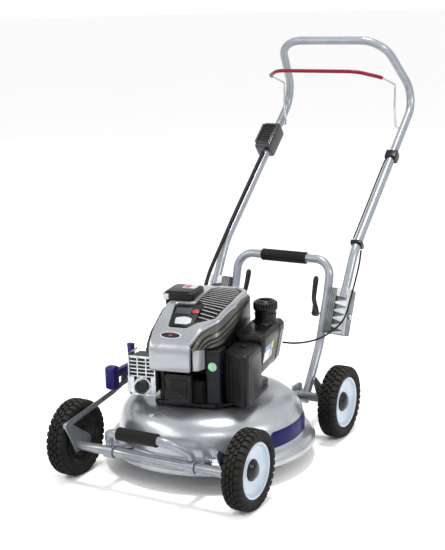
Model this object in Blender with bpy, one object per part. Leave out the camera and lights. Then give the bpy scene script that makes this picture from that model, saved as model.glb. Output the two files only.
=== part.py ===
"""Petrol walk-behind rotary mower, modelled as separate parts on joint empties.

Metres, +Z up, the front of the machine towards -Y. The parts are drawn in a frame whose origin is
on the floor at the middle of the wheelbase, and the empty "mower" moves that frame along Y, so that
the finished model's box is centred on the world origin.
"""

import math

import bmesh
import bpy
from mathutils import Matrix, Vector

# ---- driving dimensions ---------------------------------------------------------------------
WHEELBASE = 0.544
WHEEL_RADIUS = 0.100
TYRE_WIDTH = 0.051
WHEEL_X = 0.2535  # middle of each wheel
HALF_LENGTH_SHIFT = 0.2799  # from the wheelbase's middle to the middle of the whole length
GAP = 0.0003  # between pieces that touch

TUBE_RADIUS = 0.0125  # handlebar, rear frame and axle tubes
CARRY_TUBE_RADIUS = 0.011
ROUND = 12  # sides of the larger tubes

DECK_RADIUS = 0.2485
DECK_WALL = 0.003
DECK_TOP_Z = 0.180
DECK_SHOULDER_Z = 0.100
DECK_SHOULDER_RUN = 0.090
DECK_FLANGE_RADIUS = 0.2765
DECK_FLAT_Y = 0.2125  # the dome's back is pressed flat here, to clear the rear axle tube

FRONT_PIVOT = (-0.313, 0.098)  # (y, z) of the front axle tube
REAR_PIVOT = (0.231, 0.116)
CRANK_PIN = (-0.042, 0.064)  # from an axle tube to its crank pin
CRANK_X = (0.2152, 0.2192)  # inner and outer face of each crank plate
LINK_X = (-0.2242, -0.2202)
HEIGHT_STEPS = (0.0, -10.0, -20.0, -30.0, -40.0)  # degrees of axle crank per cutting height

FRAME_LEG_X = 0.150
FOLD_PIVOT = (0.398, 0.308)
FOLD_BOLT_RADIUS = 0.004
FIXED_BRACKET_X = (0.1630, 0.1860)
MOVING_BRACKET_X = (0.1863, 0.2275)

ENGINE_TURN = math.radians(10.0)  # the engine sits turned on the deck
SHAFT_RADIUS = 0.0127

BAIL_PIVOT = (0.8575, 0.7935)
BAIL_X = 0.188
TRIGGER_PIVOT = (-0.062, 0.238)


# ---- materials --------------------------------------------------------------------------------
def make_material(name, colour, roughness, metallic=0.0):
    """A Principled material in one plain colour."""
    material = bpy.data.materials.new(name)
    material.use_nodes = True
    shader = material.node_tree.nodes["Principled BSDF"]
    shader.inputs["Base Color"].default_value = (*colour, 1.0)
    shader.inputs["Roughness"].default_value = roughness
    shader.inputs["Metallic"].default_value = metallic
    return material


def make_materials():
    """Every material of the machine, by name."""
    table = {
        "silver_paint": ((0.50, 0.52, 0.55), 0.30, 0.6),
        "tube_paint": ((0.42, 0.44, 0.48), 0.35, 0.4),
        "zinc_steel": ((0.55, 0.57, 0.60), 0.35, 0.9),
        "bright_steel": ((0.70, 0.70, 0.72), 0.25, 1.0),
        "cast_aluminium": ((0.55, 0.55, 0.55), 0.55, 0.9),
        "cast_iron": ((0.10, 0.10, 0.10), 0.60, 0.8),
        "blade_steel": ((0.20, 0.20, 0.21), 0.45, 0.9),
        "tyre_rubber": ((0.030, 0.031, 0.036), 0.85, 0.0),
        "rim_plastic": ((0.58, 0.72, 0.80), 0.30, 0.0),
        "grip_foam": ((0.018, 0.018, 0.019), 0.75, 0.0),
        "black_plastic": ((0.022, 0.022, 0.023), 0.40, 0.0),
        "grey_plastic": ((0.060, 0.060, 0.070), 0.45, 0.0),
        "engine_silver": ((0.48, 0.49, 0.52), 0.28, 0.5),
        "blue_plastic": ((0.030, 0.027, 0.260), 0.45, 0.0),
        "red_sleeve": ((0.400, 0.004, 0.022), 0.35, 0.0),
        "cable_jacket": ((0.012, 0.012, 0.012), 0.50, 0.0),
    }
    return {name: make_material(name, *values) for name, values in table.items()}


# ---- joints -----------------------------------------------------------------------------------
def add_joint(name, pivot, parent=None, turn=0.0):
    """An empty on a joint's axis. pivot is in the same frame as the parts' points."""
    empty = bpy.data.objects.new(name, None)
    empty["pivot"] = pivot
    start = Vector(parent["pivot"]) if parent else Vector()
    empty.location = Vector(pivot) - start
    empty.rotation_euler.z = turn
    empty.parent = parent
    bpy.context.scene.collection.objects.link(empty)
    return empty


# ---- outlines and paths -----------------------------------------------------------------------
def hull_outline(circles, steps=24):
    """The taut outline round several circles, each (a, b, radius), counter-clockwise."""
    points = [
        (a + r * math.cos(math.tau * i / steps), b + r * math.sin(math.tau * i / steps))
        for a, b, r in circles
        for i in range(steps)
    ]
    points = sorted(set(points))

    def half(ordered):
        chain = []
        for point in ordered:
            while len(chain) > 1 and turn_of(chain[-2], chain[-1], point) <= 1e-9:
                chain.pop()
            chain.append(point)
        return chain[:-1]

    return half(points) + half(points[::-1])


def turn_of(a, b, c):
    """Twice the signed area of a triangle in the plane."""
    return (b[0] - a[0]) * (c[1] - a[1]) - (b[1] - a[1]) * (c[0] - a[0])


def rounded_path(corners, radii, steps=5):
    """A polyline through the corners, each inner corner replaced by an arc of its radius."""
    corners = [Vector(corner) for corner in corners]
    path = [corners[0]]
    for i, radius in enumerate(radii, start=1):
        before, corner, after = corners[i - 1 : i + 2]
        to_start = (before - corner).normalized()
        to_end = (after - corner).normalized()
        half_angle = to_start.angle(to_end) / 2
        reach = radius / math.tan(half_angle)
        centre = corner + (to_start + to_end).normalized() * radius / math.sin(half_angle)
        first = corner + to_start * reach - centre
        last = corner + to_end * reach - centre
        arc = first.angle(last)
        for k in range(steps + 1):
            share = k / steps
            point = (first * math.sin(arc * (1 - share)) + last * math.sin(arc * share)) / math.sin(arc)
            path.append(centre + point)
    path.append(corners[-1])
    return path


def smooth_path(points, per_span=3):
    """A Catmull-Rom curve through the points."""
    points = [Vector(point) for point in points]
    ends = [points[0] * 2 - points[1], *points, points[-1] * 2 - points[-2]]
    path = []
    for i in range(1, len(ends) - 2):
        a, b, c, d = ends[i - 1 : i + 3]
        for k in range(per_span):
            t = k / per_span
            path.append(
                0.5 * (2 * b + (c - a) * t + (2 * a - 5 * b + 4 * c - d) * t**2 + (3 * b - a - 3 * c + d) * t**3)
            )
    path.append(points[-1])
    return path


def across(path):
    """The path carried over to the other side of the machine."""
    return [(-x, y, z) for x, y, z in path]


# ---- meshes -----------------------------------------------------------------------------------
def extruded(outline, low, high, axis):
    """A prism. The outline is in the other two axes, in X, Y, Z order, and runs low to high."""
    mesh = bmesh.new()
    place = {
        "x": lambda a, b, t: (t, a, b),
        "y": lambda a, b, t: (a, t, b),
        "z": lambda a, b, t: (a, b, t),
    }[axis]
    face = mesh.faces.new([mesh.verts.new(place(a, b, low)) for a, b in outline])
    moved = bmesh.ops.extrude_face_region(mesh, geom=[face])["geom"]
    ends = [item for item in moved if isinstance(item, bmesh.types.BMVert)]
    step = Vector(place(0, 0, high - low))
    bmesh.ops.translate(mesh, verts=ends, vec=step)
    return mesh


def block(x, y, z, bevel=0.0):
    """A box from three (low, high) pairs, with its edges cut off by bevel."""
    outline = [(x[0], y[0]), (x[1], y[0]), (x[1], y[1]), (x[0], y[1])]
    mesh = extruded(outline, *z, "z")
    if bevel:
        bmesh.ops.bevel(mesh, geom=mesh.edges[:], offset=bevel, segments=1, affect="EDGES")
    return mesh


def turned(profile, centre, axis, segments, closed=True):
    """A profile of (radius, height) points spun about the line through centre along axis."""
    mesh = bmesh.new()
    up = Vector(axis).normalized()
    out = up.orthogonal().normalized()
    centre = Vector(centre)
    ring = [mesh.verts.new(centre + out * r + up * h) for r, h in profile]
    pairs = list(zip(ring, ring[1:] + ring[:1])) if closed else list(zip(ring, ring[1:]))
    edges = [mesh.edges.new(pair) for pair in pairs]
    bmesh.ops.spin(
        mesh, geom=ring + edges, cent=centre, axis=up, angle=math.tau, steps=segments, use_merge=True
    )
    bmesh.ops.remove_doubles(mesh, verts=mesh.verts[:], dist=1e-6)
    return mesh


def rod(radius, start, end, segments=12):
    """A plain cylinder between two points."""
    start = Vector(start)
    run = Vector(end) - start
    return turned([(0, 0), (radius, 0), (radius, run.length), (0, run.length)], start, run, segments, False)


def ring_frames(path):
    """For each point of a path, two directions across it that turn as little as they can."""
    path = [Vector(point) for point in path]
    frames = []
    side = (path[1] - path[0]).orthogonal().normalized()
    for i, point in enumerate(path):
        before = path[max(i - 1, 0)]
        after = path[min(i + 1, len(path) - 1)]
        along = (after - before).normalized()
        side = (side - along * side.dot(along)).normalized()
        frames.append((point, side, along.cross(side)))
    return frames


def tube(path, radius, sides=ROUND, bore=None):
    """A round bar swept along a path, or a sleeve if bore gives an inner radius."""
    mesh = bmesh.new()

    def rings(r):
        return [
            [
                mesh.verts.new(p + r * (u * math.cos(math.tau * k / sides) + v * math.sin(math.tau * k / sides)))
                for k in range(sides)
            ]
            for p, u, v in ring_frames(path)
        ]

    def skin(loops):
        for a, b in zip(loops, loops[1:]):
            for k in range(sides):
                mesh.faces.new((a[k], a[k - 1], b[k - 1], b[k]))

    outer = rings(radius)
    skin(outer)
    if bore is None:
        mesh.faces.new(outer[0])
        mesh.faces.new(outer[-1][::-1])
        return mesh
    inner = rings(bore)
    skin(inner)
    for a, b in ((outer[0], inner[0]), (outer[-1], inner[-1])):
        for k in range(sides):
            mesh.faces.new((a[k], a[k - 1], b[k - 1], b[k]))
    return mesh


# ---- objects ----------------------------------------------------------------------------------
class Builder:
    """Puts each finished mesh into the scene, under its joint and in its material."""

    def __init__(self, materials):
        self.materials = materials
        self.tools = 0

    def part(self, name, mesh, joint, material):
        """One named part whose origin is on its joint."""
        pivot = Vector(joint["pivot"])
        bmesh.ops.translate(mesh, verts=mesh.verts[:], vec=-pivot)
        part = self._object(name, mesh)
        part.parent = joint
        part.data.materials.append(self.materials[material])
        return part

    def tool(self, mesh, part):
        """A helper shape for a Boolean, in the frame of the part that it works on."""
        self.tools += 1
        pivot = Vector(part.parent["pivot"])
        bmesh.ops.translate(mesh, verts=mesh.verts[:], vec=-pivot)
        helper = self._object(f"tool_{self.tools:02d}", mesh)
        helper.parent = part.parent
        helper.hide_render = True
        helper.display_type = "WIRE"
        return helper

    def cut(self, part, mesh):
        """Takes a shape out of a part."""
        self._boolean(part, mesh, "DIFFERENCE")

    def weld(self, part, mesh):
        """Joins a shape to a part."""
        self._boolean(part, mesh, "UNION")

    def _boolean(self, part, mesh, operation):
        modifier = part.modifiers.new(operation.title(), "BOOLEAN")
        modifier.operation = operation
        modifier.object = self.tool(mesh, part)

    def _object(self, name, mesh):
        bmesh.ops.recalc_face_normals(mesh, faces=mesh.faces[:])
        data = bpy.data.meshes.new(name)
        mesh.to_mesh(data)
        mesh.free()
        data.shade_smooth()
        data.set_sharp_from_angle(angle=math.radians(35))
        made = bpy.data.objects.new(name, data)
        bpy.context.scene.collection.objects.link(made)
        return made


SIDES = (("left", -1), ("right", 1))


def side_x(side, pair):
    """A (low, high) pair of X on one side of the machine."""
    return tuple(sorted(side * value for value in pair))


# ---- deck -------------------------------------------------------------------------------------
def deck_profile(inset):
    """(radius, z) points of the dome from its rim to the top, moved in by inset."""
    rim = [
        (DECK_FLANGE_RADIUS, 0.047),
        (DECK_FLANGE_RADIUS, 0.062),
        (0.2710, 0.066),
        (0.2660, 0.0745),
        (0.2500, 0.079),
        (DECK_RADIUS, 0.083),
    ]
    steps = 7
    power = 2 / 2.2  # a superellipse of exponent 2.2
    for k in range(steps + 1):
        angle = math.pi / 2 * k / steps
        run = DECK_SHOULDER_RUN * math.cos(angle) ** power
        rise = (DECK_TOP_Z - DECK_SHOULDER_Z) * math.sin(angle) ** power
        rim.append((DECK_RADIUS - DECK_SHOULDER_RUN + run, DECK_SHOULDER_Z + rise))
    if inset:
        rim = [(r - inset, max(z - inset, 0.047)) for r, z in rim]
    return rim


def make_deck(build, chassis):
    """The round pressed deck, open below, with its shaft hole and its flat back."""
    outer = deck_profile(0)
    inner = deck_profile(DECK_WALL)
    hole = SHAFT_RADIUS + 0.004
    profile = [*outer, (hole, DECK_TOP_Z), (hole, DECK_TOP_Z - DECK_WALL), *inner[::-1]]
    mesh = turned(profile, (0, 0, 0), (0, 0, 1), 40)
    for vertex in mesh.verts:
        radius = vertex.co.xy.length
        nearest_inner = min((math.hypot(radius - r, vertex.co.z - z) for r, z in inner))
        limit = DECK_FLAT_Y - (DECK_WALL if nearest_inner < 1e-5 else 0)
        if vertex.co.z > 0.0795 and vertex.co.y > limit:
            vertex.co.y = limit
    build.part("deck_shell", mesh, chassis, "silver_paint")


# ---- axles and cutting height -----------------------------------------------------------------
def make_axle(build, name, joint, pivot, wheel_y):
    """A cross tube welded to two crank plates, with the stub axles that carry the wheels."""
    y, z = pivot
    inner, outer = CRANK_X
    tube_mesh = rod(TUBE_RADIUS, (-inner - 0.002, y, z), (inner + 0.002, y, z), ROUND)
    axle = build.part(name, tube_mesh, joint, "zinc_steel")
    pin = (y + CRANK_PIN[0], z + CRANK_PIN[1])
    outline = hull_outline([(*pin, 0.010), (wheel_y, WHEEL_RADIUS, 0.014), (y, z, 0.017)], 12)
    hub_face = WHEEL_X + 0.0078
    stub = [(0, 0), (0.008, 0), (0.008, hub_face - inner), (0.0125, hub_face - inner)]
    stub += [(0.0125, hub_face - inner + 0.004), (0, hub_face - inner + 0.004)]
    for _, side in SIDES:
        build.weld(axle, extruded(outline, *side_x(side, CRANK_X), "x"))
        start = (side * (inner + 0.001), wheel_y, WHEEL_RADIUS)
        profile = [(r, max(h - 0.001, 0)) for r, h in stub]
        build.weld(axle, turned(profile, start, (side, 0, 0), 12, False))
    build.weld(axle, rod(0.004, (-inner - 0.001, *pin), (-0.2262, *pin), 10))


def make_link(build, link):
    """The flat bar from the front crank to the rear one, with a lug that carries the trigger."""
    front = (FRONT_PIVOT[0] + CRANK_PIN[0], FRONT_PIVOT[1] + CRANK_PIN[1])
    rear = (REAR_PIVOT[0] + CRANK_PIN[0], REAR_PIVOT[1] + CRANK_PIN[1])
    middle = [(-0.141, 0.186), (-0.090, 0.197), (0.030, 0.2045), (0.120, 0.198)]
    half = 0.007
    top = [(y, z + half) for y, z in middle]
    lug = [(-0.094, 0.246), (-0.054, 0.246), (-0.050, 0.207)]
    top[1:2] = [(-0.100, 0.203), *lug]
    bottom = [(y, z - half) for y, z in middle]
    ends = hull_outline([(*front, 0.0085)], 10), hull_outline([(*rear, 0.0095)], 10)
    front_end = [p for p in ends[0] if p[0] < front[0] + 0.004]
    front_end.sort(key=lambda p: -(math.atan2(p[1] - front[1], p[0] - front[0]) % math.tau))
    rear_end = [p for p in ends[1] if p[0] > rear[0] - 0.004]
    rear_end.sort(key=lambda p: -math.atan2(p[1] - rear[1], p[0] - rear[0]))
    outline = [*front_end, *top, *rear_end, *bottom[::-1]]
    bar = build.part("link_bar", extruded(outline, *LINK_X, "x"), link, "zinc_steel")
    reach = (LINK_X[0] - 0.002, LINK_X[1] + 0.002)
    build.cut(bar, rod(0.0048, (reach[0], *front), (reach[1], *front), 12))
    build.cut(bar, rod(0.0060, (reach[0], *rear), (reach[1], *rear), 12))


def make_height_control(build, link, trigger, chassis):
    """The hand grip on the link bar, its trigger, and the notched plate on the deck."""
    inner = LINK_X[1] + GAP
    paddle = block((inner, -0.1905), (-0.180, -0.150), (0.204, 0.268), 0.005)
    grip = build.part("height_grip", paddle, link, "blue_plastic")
    build.weld(grip, block((inner, -0.2030), (-0.154, -0.0775), (0.228, 0.249)))
    y, z = TRIGGER_PIVOT
    blade = [
        (y - 0.005, z - 0.006),
        (y + 0.004, z - 0.020),
        (y + 0.016, z - 0.0335),
        (y + 0.0195, z - 0.0335),
        (y + 0.013, z - 0.014),
        (y + 0.006, z + 0.006),
        (y + 0.004, z + 0.058),
        (y + 0.006, z + 0.064),
        (y - 0.008, z + 0.064),
        (y - 0.006, z + 0.056),
    ]
    build.part("height_trigger", extruded(blade, inner, -0.2010, "x"), trigger, "blue_plastic")
    tip = (y + 0.0178, z - 0.0335 - 0.0012)
    crest = [(tip[0] - 0.016, tip[1] - 0.0018)]
    for degrees in HEIGHT_STEPS:
        turn = Matrix.Rotation(math.radians(degrees), 2)
        moved = turn @ Vector(CRANK_PIN) - Vector(CRANK_PIN)
        notch_y, notch_z = tip[0] + moved.x, tip[1] + moved.y
        crest += [
            (notch_y - 0.0042, notch_z - 0.0018),
            (notch_y - 0.0022, notch_z - 0.0060),
            (notch_y + 0.0022, notch_z - 0.0060),
            (notch_y + 0.0042, notch_z - 0.0018),
        ]
    crest.append((crest[-1][0] + 0.010, crest[-1][1]))
    foot = DECK_TOP_Z - 0.0100
    outline = [(crest[0][0], foot), *crest, (crest[-1][0] + 0.006, foot)]
    build.part("notch_plate", extruded(outline, -0.2100, -0.2060, "x"), chassis, "zinc_steel")


def make_axle_bearings(build, chassis):
    """The clamps on straps that carry the front tube, and the plates that carry the rear one."""
    y, z = FRONT_PIVOT
    strap = [
        (y + 0.0125, z + 0.0135),
        (y + 0.0140, z + 0.0060),
        (-0.252, 0.0880),
        (-0.236, 0.0797),
        (-0.2280, 0.0797),
        (-0.2280, 0.0840),
        (-0.250, 0.0945),
    ]
    bore = 0.0136
    for label, side in SIDES:
        low, high = side_x(side, (0.105, 0.131))
        ring = [(bore, low), (0.0170, low), (0.0170, high), (bore, high)]
        clamp = build.part(
            f"front_bearing_{label}", turned(ring, (0, y, z), (1, 0, 0), ROUND), chassis, "silver_paint"
        )
        build.weld(clamp, extruded(strap, *side_x(side, (0.107, 0.129)), "x"))
    y, z = REAR_PIVOT
    plate = [
        (0.2115, 0.0797),
        (0.262, 0.0797),
        (0.284, 0.104),
        (0.276, 0.136),
        (0.262, 0.142),
        (0.222, 0.142),
        (0.2128, 0.128),
    ]
    for label, side in SIDES:
        span = side_x(side, (0.1315, 0.1372))
        bearing = build.part(f"rear_bearing_{label}", extruded(plate, *span, "x"), chassis, "silver_paint")
        reach = side_x(side, (0.125, 0.145))
        build.cut(bearing, rod(bore, (reach[0], y, z), (reach[1], y, z), ROUND))


# ---- wheels -----------------------------------------------------------------------------------
def make_wheel(build, label, side, joint, y):
    """A lugged tyre and its dished rim, turning on the stub axle."""
    centre = (side * WHEEL_X, y, WHEEL_RADIUS)
    half = TYRE_WIDTH / 2
    tyre = [
        (0.0703, -0.0210),
        (0.0780, -half),
        (0.0940, -half),
        (WHEEL_RADIUS, -0.0195),
        (WHEEL_RADIUS, 0.0195),
        (0.0940, half),
        (0.0780, half),
        (0.0703, 0.0210),
    ]
    rim = [
        (0.0697, 0.0205),
        (0.0635, 0.0205),
        (0.0575, 0.0125),
        (0.0320, 0.0075),
        (0.0090, 0.0075),
        (0.0090, -0.0240),
        (0.0180, -0.0240),
        (0.0190, 0.0015),
        (0.0580, 0.0060),
        (0.0600, -0.0205),
        (0.0697, -0.0205),
    ]
    axis = (side, 0, 0)
    build.part(f"tyre_{label}", turned(tyre, centre, axis, 32), joint, "tyre_rubber")
    build.part(f"rim_{label}", turned(rim, centre, axis, 18), joint, "rim_plastic")


# ---- carrying handle and rear frame -----------------------------------------------------------
def make_carry_handle(build, chassis):
    """The bent tube over the front axle, and its ribbed grip."""
    foot = FRONT_PIVOT[1] + 0.0212
    half = [(0.118, -0.313, foot), (0.116, -0.319, 0.134), (0.083, -0.364, 0.172)]
    path = rounded_path([*across(half), *half[::-1]], (0.02, 0.045, 0.045, 0.02), 4)
    build.part("carry_handle", tube(path, CARRY_TUBE_RADIUS, 10), chassis, "tube_paint")
    y, z = half[2][1:]
    grip = tube([(-0.0567, y, z), (0.0567, y, z)], 0.0165, 14, 0.0122)
    build.part("carry_grip", grip, chassis, "grip_foam")


def make_rear_frame(build, chassis):
    """The bent tube behind the deck that carries the handlebar, and its grip."""
    half = [
        (FRAME_LEG_X, 0.262, 0.0850),
        (FRAME_LEG_X, 0.318, 0.157),
        (FRAME_LEG_X, 0.367, 0.224),
        (FRAME_LEG_X, 0.424, 0.360),
        (FRAME_LEG_X, 0.452, 0.4545),
    ]
    corners = [*across(half), *half[::-1]]
    radii = (0.20, 0.20, 0.15, 0.070, 0.070, 0.15, 0.20, 0.20)
    path = rounded_path(corners, radii, 3)
    frame = build.part("rear_frame", tube(path, TUBE_RADIUS, ROUND), chassis, "tube_paint")
    y, z = FOLD_PIVOT
    for _, side in SIDES:
        low, high = side_x(side, (0.130, 0.175))
        build.cut(frame, rod(FOLD_BOLT_RADIUS + 0.0008, (low, y, z), (high, y, z), 10))
    y, z = half[4][1:]
    grip = tube([(-0.0715, y, z), (0.0715, y, z)], 0.0175, 14, 0.0137)
    build.part("rear_grip", grip, chassis, "grip_foam")


def cut_rectangle(centre, along, half_length, half_width, cut):
    """A leaning rectangle with its corners cut off, as (y, z) points. along is a unit vector."""
    out = Vector((-along.y, along.x))
    corners = []
    for a, b in ((-1, -1), (1, -1), (1, 1), (-1, 1)):
        end = (a * half_length, b * (half_width - cut))
        flank = (a * (half_length - cut), b * half_width)
        corners += [end, flank] if a * b > 0 else [flank, end]
    return [tuple(Vector(centre) + along * a + out * b) for a, b in corners]


def make_fold_brackets(build, chassis, handle):
    """The cast halves of each fold joint, and the bolt that clamps them."""
    y, z = FOLD_PIVOT
    lean = math.radians(66)
    along = Vector((math.cos(lean), math.sin(lean)))
    outline = cut_rectangle((y + 0.008, z + 0.010), along, 0.066, 0.024, 0.006)
    for label, side in SIDES:
        for name, span, joint in (
            ("frame_bracket", FIXED_BRACKET_X, chassis),
            ("handle_bracket", MOVING_BRACKET_X, handle),
        ):
            bracket = build.part(
                f"{name}_{label}", extruded(outline, *side_x(side, span), "x"), joint, "cast_aluminium"
            )
            low, high = side_x(side, (span[0] - 0.005, span[1] + 0.005))
            build.cut(bracket, rod(FOLD_BOLT_RADIUS + 0.0008, (low, y, z), (high, y, z), 10))
            if joint is handle:
                low, high = (Vector((side * a, b, c)) for a, b, c in handle_leg()[:2])
                low -= (high - low).normalized() * 0.001
                build.cut(bracket, tube([low, high], TUBE_RADIUS + 0.0008, ROUND))
        start, shoulder, end = 0.1347, MOVING_BRACKET_X[1] + GAP, MOVING_BRACKET_X[1] + 0.006
        bolt = [(0, start), (FOLD_BOLT_RADIUS, start), (FOLD_BOLT_RADIUS, shoulder)]
        bolt += [(0.0080, shoulder), (0.0080, end), (0, end)]
        mesh = turned(bolt, (0, y, z), (side, 0, 0), 10, False)
        build.part(f"clamp_bolt_{label}", mesh, chassis, "bright_steel")


def make_clamp_lever(build, label, side, lever):
    """A black cam lever on the inner end of the clamp bolt."""
    y, z = FOLD_PIVOT
    path = [(0.1240, y, z), (0.1190, y + 0.008, z + 0.022), (0.1110, y + 0.016, z + 0.042)]
    path.append((0.1100, y + 0.037, z + 0.098))
    mesh = tube([(side * a, b, c) for a, b, c in path], 0.0065, 8)
    part = build.part(f"clamp_lever_{label}", mesh, lever, "black_plastic")
    axis = Vector(lever_axis(side))
    centre = Vector((side * 0.1240, y, z))
    build.weld(part, rod(0.0098, centre - axis * 0.0085, centre + axis * 0.0085, 12))


def lever_axis(side):
    """The cam's axis, square to the bolt and to the closed lever."""
    return (0.0, -0.932 * side, 0.364 * side)


# ---- handlebar --------------------------------------------------------------------------------
def handle_leg():
    """(x, y, z) corners of a handlebar leg, from its socket to the top bar."""
    return [
        (0.2095, 0.4230, 0.3900),
        (0.2100, 0.4787, 0.4795),
        (0.2130, 0.9621, 0.8800),
        (0.1690, 0.7880, 1.0620),
    ]


def make_handlebar(build, handle):
    """The bent upper handle, in one tube."""
    half = handle_leg()
    path = rounded_path([*across(half), *half[::-1]], (0.16, 0.073, 0.085, 0.085, 0.073, 0.16), 5)
    build.part("handlebar", tube(path, TUBE_RADIUS, ROUND), handle, "tube_paint")


def on_leg(side, share, length, span, half_out, shift):
    """A block round the straight stretch of a handlebar leg, and the stretch of leg through it."""
    low, high = (Vector((side * x, y, z)) for x, y, z in handle_leg()[1:3])
    spine = low + (high - low) * share
    along = (high - low).normalized()
    flat_along = along.yz.normalized()
    middle = spine.yz + Vector((-flat_along.y, flat_along.x)) * shift
    points = cut_rectangle(middle, flat_along, length / 2, half_out, min(0.006, length / 4))
    inner, outer = span
    mesh = extruded(points, *side_x(side, (abs(spine.x) - inner, abs(spine.x) + outer)), "x")
    return mesh, [spine + along * (s * (length / 2 + 0.01)) for s in (-1, 1)]


def make_leg_fittings(build, handle):
    """The switch housing, the cable anchor and the cable clip, each round a handlebar leg."""
    fittings = (
        ("switch_housing", -1, 0.665, 0.105, (0.0200, 0.0340), 0.0270, 0.004),
        ("cable_anchor", 1, 0.595, 0.034, (0.0160, 0.0160), 0.0170, 0.0),
        ("cable_clip", 1, 0.045, 0.014, (0.0160, 0.0160), 0.0160, 0.0),
    )
    for name, side, share, length, span, half_out, shift in fittings:
        mesh, spine = on_leg(side, share, length, span, half_out, shift)
        fitting = build.part(name, mesh, handle, "black_plastic")
        build.cut(fitting, tube(spine, TUBE_RADIUS + 0.0008, ROUND))


def make_bail(build, bail):
    """The sprung stop bar: a bent wire with a red sleeve on its cross bar."""
    y, z = BAIL_PIVOT
    half = [
        (BAIL_X + 0.0110, y, z),
        (BAIL_X, y, z),
        (BAIL_X, 0.846, 0.862),
        (BAIL_X, 0.850, 0.926),
        (0.184, 0.739, 0.957),
        (0.130, 0.681, 0.977),
    ]
    corners = [*across(half), *half[::-1]]
    radii = (0.005, 0.04, 0.012, 0.05, 0.06, 0.06, 0.05, 0.012, 0.04, 0.005)
    path = rounded_path(corners, radii, 2)
    build.part("bail_wire", tube(path, 0.0030, 8), bail, "bright_steel")
    covered = [point for point in path if point.z > 0.955]
    build.part("bail_sleeve", tube(covered, 0.0056, 8, 0.0036), bail, "red_sleeve")


def make_cables(build, chassis, handle):
    """The brake cable and the switch wiring: a stretch on the handlebar, and one to the engine."""
    brake_upper = [(0.1970, 0.747, 0.708), (0.1965, 0.700, 0.670), (0.1955, 0.580, 0.570)]
    brake_upper.append((0.1950, 0.518, 0.520))
    brake_lower = [
        (0.2250, 0.493, 0.482),
        (0.2330, 0.462, 0.452),
        (0.2370, 0.425, 0.412),
        (0.2360, 0.387, 0.360),
        (0.2350, 0.360, 0.325),
        (0.2300, 0.323, 0.303),
        (0.2200, 0.249, 0.291),
        (0.2040, 0.190, 0.2895),
        (0.1880, 0.130, 0.2985),
        (0.1730, 0.085, 0.3110),
    ]
    wiring_upper = [(-0.2115, 0.7390, 0.7178), (-0.2110, 0.6290, 0.6266), (-0.2105, 0.5490, 0.5604)]
    wiring_upper.append((-0.2100, 0.5090, 0.5272))
    wiring_lower = [
        (-0.2100, 0.5060, 0.5247),
        (-0.2080, 0.4620, 0.4890),
        (-0.2000, 0.4000, 0.4500),
        (-0.1850, 0.3300, 0.4160),
        (-0.1550, 0.2500, 0.3930),
        (-0.1300, 0.1900, 0.3820),
        (-0.1180, 0.1480, 0.3800),
    ]
    for name, points, radius, joint in (
        ("brake_cable_upper", brake_upper, 0.0022, handle),
        ("brake_cable_lower", brake_lower, 0.0027, chassis),
        ("wiring_upper", wiring_upper, 0.0042, handle),
        ("wiring_lower", wiring_lower, 0.0042, chassis),
    ):
        build.part(name, tube(smooth_path(points), radius, 8), joint, "cable_jacket")


# ---- engine -----------------------------------------------------------------------------------
def make_engine_body(build, engine):
    """Crankcase, cylinder with its rocker cover, and the shrouds. Returns the crankcase."""
    floor = DECK_TOP_Z + GAP
    case = block((-0.085, 0.075), (-0.085, 0.100), (floor, 0.258), 0.012)
    crankcase = build.part("crankcase", case, engine, "cast_aluminium")
    build.cut(crankcase, rod(SHAFT_RADIUS + 0.0012, (0, 0, 0.17), (0, 0, 0.27), 16))
    head = block((-0.070, 0.0400), (-0.158, -0.0853), (0.196, 0.257), 0.006)
    build.part("cylinder", head, engine, "cast_aluminium")
    cover = block((-0.062, 0.012), (-0.184, -0.1583), (0.199, 0.266), 0.006)
    build.part("rocker_cover", cover, engine, "black_plastic")
    top = [(0.090, 0.4290), (0.020, 0.4260), (-0.060, 0.4165)]
    front = [(0.118, 0.262), (0.118, 0.412), *top, (-0.1457, 0.3795), (-0.1728, 0.3550), (-0.1800, 0.3392)]
    front += [(-0.1800, 0.3255), (-0.084, 0.3255), (-0.084, 0.262)]
    housing = build.part("blower_housing", extruded(front, -0.112, 0.010, "x"), engine, "black_plastic")
    flank = [(0.118, 0.262), (0.118, 0.412), *top, (-0.1250, 0.3860), (-0.1400, 0.3650), (-0.1400, 0.3390)]
    flank += [(-0.098, 0.3390), (-0.098, 0.262)]
    build.weld(housing, extruded(flank, 0.004, 0.078, "x"))
    build.cut(housing, rod(0.076, (0, 0, 0.250), (0, 0, 0.345), 24))
    make_hood(build, engine)
    panel = block((0.0403, 0.0780), (-0.150, -0.0985), (0.196, 0.3385))
    build.part("engine_panel", panel, engine, "grey_plastic")
    return crankcase


def inset(outline, distance):
    """The polygon moved in by distance. Its points run counter-clockwise."""
    moved = []
    for k, point in enumerate(outline):
        here = Vector(point)
        before = (here - Vector(outline[k - 1])).normalized()
        after = (Vector(outline[(k + 1) % len(outline)]) - here).normalized()
        into = Vector((-before.y - after.y, before.x + after.x))
        moved.append(tuple(here + into * (distance / (1 + before.dot(after)))))
    return moved


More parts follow.
